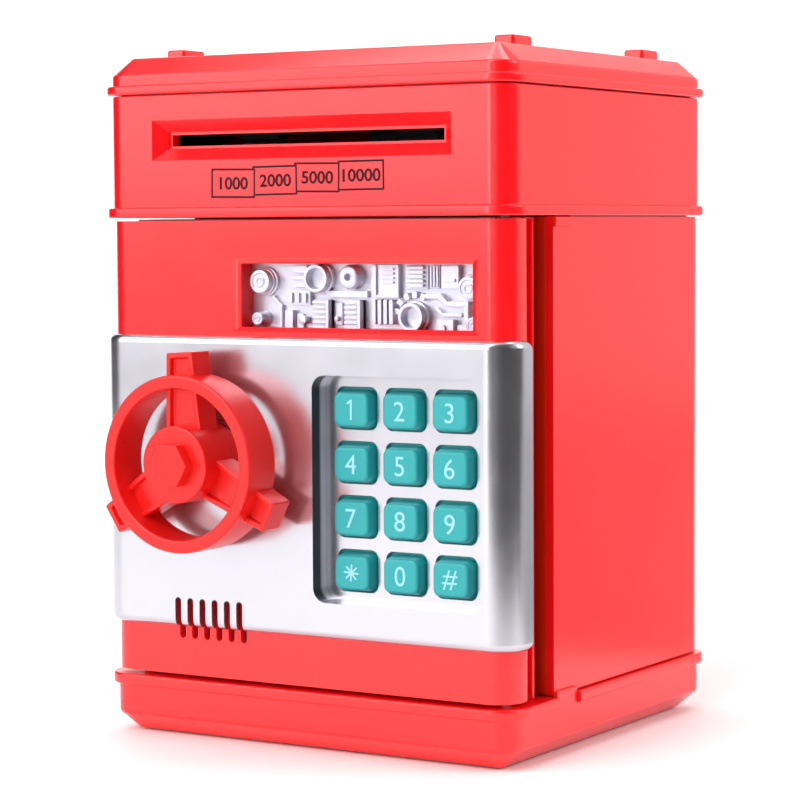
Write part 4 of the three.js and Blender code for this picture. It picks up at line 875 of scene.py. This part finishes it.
    # Plates and bent pipes at the right
    slab(37.2, 123.4, 40.2, 129.3, 1.5)
    for k in range(3):
        slab(37.5 + 0.95 * k, 123.7, 38.0 + 0.95 * k, 129.0, 2.0, 0.1)
    slab(40.8, 123.4, 46.0, 129.3, 1.9)
    slab(41.8, 125.0, 45.2, 126.0, 2.4)
    pipe([(36.6, 121.4), (40.2, 121.4), (42.4, 119.4), (48.2, 119.4), (48.2, 114.6)], 1.5, 2.0)
    pipe([(39.2, 118.0), (41.0, 116.6), (46.2, 116.6)], 1.1, 1.6)
    slab(39.6, 112.2, 44.6, 115.4, 2.3)
    slab(45.2, 112.2, 48.6, 114.0, 1.4)
    post(41.6, 113.2, [(0.9, foot), (0.9, back - 3.0), (0.5, back - 3.0)])
    return join("relief", parts)


look(door_shell(), "door_shell", "door", RED)
plate = look(faceplate(), "faceplate", "door", SILVER)
# Painted shade: the recess's left wall goes dark near its front edge.
paint(plate, SILVER_PAINTED_SHADE, lambda c, n: n.x > 0.5 and abs(c.x - RECESS[0]) < 3
      and PLATE_Y + 0.5 < c.y < RECESS_Y)
look(window_relief(), "window_relief", "door", RELIEF)
lens = rounded(WINDOW[0] + LENS_PLAY, WINDOW[1] + LENS_PLAY,
               WINDOW[2] - LENS_PLAY, WINDOW[3] - LENS_PLAY, 0.7, 4)
lens = soften(prism(lens, LENS_FRONT, LENS_BACK, "y"), 0.2, 2)
look(lens, "window_lens", "door", CLEAR)

for index, label in enumerate(KEY_NAMES):
    kx, kz = key_place(index)
    ink_y = KEY_FACE_Y - 0.04
    key = f"key_{label}"
    look(key_cap(index), key, key, TEAL)
    if label == "star":
        sign = star(kx, kz, ink_y)
    elif label == "1":
        sign = one(kx, kz, ink_y)
    elif label == "hash":
        sign = lettering("#", kx, kz, ink_y, KEY_SIGN_HIGH, depth=KEY_SIGN_DEPTH, shear=0.12)
    else:
        sign = lettering(label, kx, kz, ink_y, KEY_SIGN_HIGH, depth=KEY_SIGN_DEPTH)
    piece(sign, f"{key}_digit", key, DIGIT)

for i, (sx, sz) in enumerate(DOOR_SCREWS, 1):
    look(screw(sx, 0, sz, "y", *DOOR_SCREW), f"door_screw_{i}", "door", STEEL)

# ---------- Handwheel ----------


def handwheel():
    corners = [(RING_R_OUT, RING_BACK), (RING_R_IN, RING_BACK),
               (RING_R_IN, RING_FRONT), (RING_R_OUT, RING_FRONT)]
    section = [(r, y, 0.7) for r, y in corners]
    around = fillet([section[-1], *section, section[0]])[1:-1]
    rings = [[(WHEEL_X + r * math.cos(t), y, WHEEL_Z + r * math.sin(t)) for r, y in around]
             for t in (2 * math.pi * k / 96 for k in range(96))]
    wheel = loft("ring", rings, closed=True)
    for k in range(3):
        add(wheel, spoke(FIRST_SPOKE + 120 * k))
    back = PLATE_Y - 0.5
    hub = turned(fillet([(0, back, 0), (HUB_R, back, 0.3), (HUB_R, HUB_FRONT, 0.7),
                         (0, HUB_FRONT, 0)]), WHEEL_X, WHEEL_Z)
    hexagon = [(WHEEL_X + NUT_R * math.cos(t), WHEEL_Z + NUT_R * math.sin(t))
               for t in (math.radians(60 * k) for k in range(6))]
    nut = soften(prism(hexagon, HUB_FRONT - 3.4, HUB_FRONT + 0.5, "y"), 0.35, 3, 30)
    add(wheel, hub, nut)
    cut(wheel, prism(circle(WHEEL_X, WHEEL_Z, 3.3, 32), PLATE_Y - 10, PLATE_Y, "y"))
    return soften(wheel, 0.3, 2, 50)


def spoke(angle):
    """A tapering beam with its front hollowed, from the hub through the ring."""
    front, pocket = RING_BACK - 8.1, RING_BACK - 6.6
    beam = prism([(7.0, -5.8), (29.5, -4.2), (29.5, 4.2), (7.0, 5.8)], front, RING_BACK, "y")
    hollow = prism([(5.0, -4.5), (28.0, -2.8), (28.0, 2.8), (5.0, 4.5)], front - 0.9, pocket, "y")
    cut(beam, hollow)
    soften(beam, 0.45, 3)
    beam.data.transform(Matrix.Translation((WHEEL_X, 0, WHEEL_Z)) @ swing(angle))
    return beam


look(handwheel(), "handwheel", "knob", RED_GLOSS)

# ---------- Pieces kept from the frame ----------

KEPT = (
    (RED, "divider_shelf door_back_cover"),
    (BLACK, "coin_chute battery_box lock_cover speaker lock_solenoid feeder_frame"),
    (STEEL, "hinge_pin_upper hinge_pin_lower wheel_spindle lock_plunger"),
    (STEEL, "feed_shaft pinch_shaft feed_motor"),
    (CELL, "battery_1 battery_2 battery_3"),
    (RUBBER, "key_membrane feed_roller_left feed_roller_right"),
    (RUBBER, "pinch_roller_left pinch_roller_right"),
    (BOARD, "circuit_board"),
    (NYLON, "latch_pinion latch_bolt motor_pinion drive_gear"),
)
for material, names in KEPT:
    for name in names.split():
        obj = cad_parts[name]
        obj.data.materials.clear()
        obj.data.materials.append(material)
        bevel = obj.modifiers.new("edges", "BEVEL")
        bevel.width = 0.00018
        bevel.segments = 2
        bevel.limit_method = "ANGLE"
        bevel.angle_limit = SHARP

# ---------- Floor, light and camera, in metres ----------

AZIMUTH, ELEVATION, ROLL = 31.528, 3.684, -0.317  # degrees, fitted to the photo
CAMERA_AT = (0.394584, -0.649774, 0.139365)
SENSOR_MM, LENS_MM = 36.0, 121.09
FLOOR_HALF, FLOOR_NEAR, WALL_AT, WALL_HIGH, SWEEP_R = 0.85, -3.0, 1.6, 3.2, 0.8
FLAG_WAY, FLAG_FROM, FLAG_TO = (0.853, -0.523, 0.0), 0.30, 0.62
ROOM_LIGHT = 0.85
LAMPS = (  # name, place, look at, width, height, watts
    ("low_front", (0.15, -1.3, 0.22), (0, 0, 0.03), 0.7, 0.25, 3),
    ("front_softbox", (-0.62, -1.05, 0.66), (-0.02, -0.02, 0.10), 1.4, 1.1, 9.5),
    ("high_front", (0.05, -1.0, 1.25), (0, 0, 0.1), 0.8, 0.8, 9),
    ("high_right", (1.2, 0.25, 0.75), (0, 0, 0.1), 0.7, 0.7, 9),
    ("backdrop_light", (-0.35, 0.35, 1.7), (-0.8, 1.3, 0.7), 1.6, 0.8, 20),
)


def stage_material(name, color):
    m = Nodes(name)
    dim = tuple(c * 0.985 for c in color)
    m.link(m.blend(m.noise(3.0), dim, color), m.shader.inputs["Base Color"])
    m.shader.inputs["Roughness"].default_value = 0.6
    m.shader.inputs["Specular IOR Level"].default_value = 0.2
    return m.material


def floor():
    """A pale sweep: flat, then curving up to a wall far behind."""
    profile = fillet([(FLOOR_NEAR, 0.0, 0), (WALL_AT, 0.0, SWEEP_R), (WALL_AT, WALL_HIGH, 0)], 16)
    verts = [(x, y, z) for y, z in profile for x in (-FLOOR_HALF, FLOOR_HALF)]
    faces = [(2 * k, 2 * k + 1, 2 * k + 3, 2 * k + 2) for k in range(len(profile) - 1)]
    made = solid("studio_floor", verts, faces)
    turn = Matrix.Rotation(math.radians(31.5), 4, "Z")
    made.matrix_world = turn @ Matrix.Translation((0, 0, -0.0004))
    made.data.polygons.foreach_set("use_smooth", [True] * len(made.data.polygons))
    made.data.materials.append(stage_material("studio_white", (0.92, 0.92, 0.92)))


def card(name, corners, grey):
    """A card outside the picture, seen only in reflections."""
    made = solid(name, corners, [(0, 1, 2, 3)])
    made.data.materials.append(stage_material(name, (grey, grey, grey)))
    made.visible_camera = False
    made.visible_diffuse = False
    made.visible_shadow = False


def cards():
    """A black card darkens the rounded corners; a grey one low down quietens the side."""
    ahead, along = Vector((0.854, -0.518, 0)), Vector((0.518, 0.854, 0))
    near, up = ahead * 0.36 + Vector((0, 0, 0.001)), Vector((0, 0, 0.95))
    left, right = near - along * 0.60, near + along * 0.30
    card("studio_black_card", [left, right, right + up, left + up], 0.004)
    low = Vector((0.08, 0, 0.002))
    corners = ((0.12, -0.05), (0.12, 0.5), (1.3, 0.6), (1.3, -0.3))
    card("studio_grey_card", [low + along * a + ahead * b for a, b in corners], 0.30)


def lamp(name, place_at, look_at, width, height, power):
    data = bpy.data.lights.new(name, "AREA")
    data.shape = "RECTANGLE"
    data.size, data.size_y = width, height
    data.energy = power
    made = linked(name, data)
    made.location = place_at
    made.rotation_mode = "QUATERNION"
    toward = Vector(look_at) - Vector(place_at)
    made.rotation_quaternion = toward.to_track_quat("-Z", "Y")


def camera():
    th, ph, roll = math.radians(AZIMUTH), math.radians(ELEVATION), math.radians(ROLL)
    forward = Vector((-math.sin(th) * math.cos(ph), math.cos(th) * math.cos(ph), -math.sin(ph)))
    right = Vector((math.cos(th), math.sin(th), 0))
    up = right.cross(forward)
    across = right * math.cos(roll) + up * math.sin(roll)
    upright = -right * math.sin(roll) + up * math.cos(roll)
    data = bpy.data.cameras.new("photo_camera")
    data.sensor_width = SENSOR_MM
    data.lens = LENS_MM
    data.clip_start = 0.01
    data.dof.use_dof = False
    made = linked("photo_camera", data)
    columns = Matrix((across, upright, -forward)).transposed().to_4x4()
    made.matrix_world = Matrix.Translation(CAMERA_AT) @ columns
    bpy.context.scene.camera = made


floor()
camera()
cards()
for settings in LAMPS:
    lamp(*settings)


def studio_world():
    """A pale room with a dark flag a little right of the camera, and another across from it."""
    made = bpy.data.worlds.new("studio")
    made.use_nodes = True
    tree = made.node_tree
    coord = tree.nodes.new("ShaderNodeTexCoord")
    toward = tree.nodes.new("ShaderNodeVectorMath")
    toward.operation = "DOT_PRODUCT"
    toward.inputs[1].default_value = FLAG_WAY
    size = tree.nodes.new("ShaderNodeMath")
    size.operation = "ABSOLUTE"
    level = tree.nodes.new("ShaderNodeMapRange")
    level.interpolation_type = "SMOOTHSTEP"
    level.inputs["From Min"].default_value = FLAG_FROM
    level.inputs["From Max"].default_value = FLAG_TO
    level.inputs["To Min"].default_value = ROOM_LIGHT
    level.inputs["To Max"].default_value = 0.0
    background = tree.nodes["Background"]
    background.inputs["Color"].default_value = (1.0, 0.99, 1.0, 1)
    tree.links.new(coord.outputs["Generated"], toward.inputs[0])
    tree.links.new(toward.outputs["Value"], size.inputs[0])
    tree.links.new(size.outputs[0], level.inputs["Value"])
    tree.links.new(level.outputs["Result"], background.inputs["Strength"])
    bpy.context.scene.world = made


studio_world()
bpy.context.scene.view_settings.view_transform = "Standard"
bpy.context.scene.view_settings.look = "None"
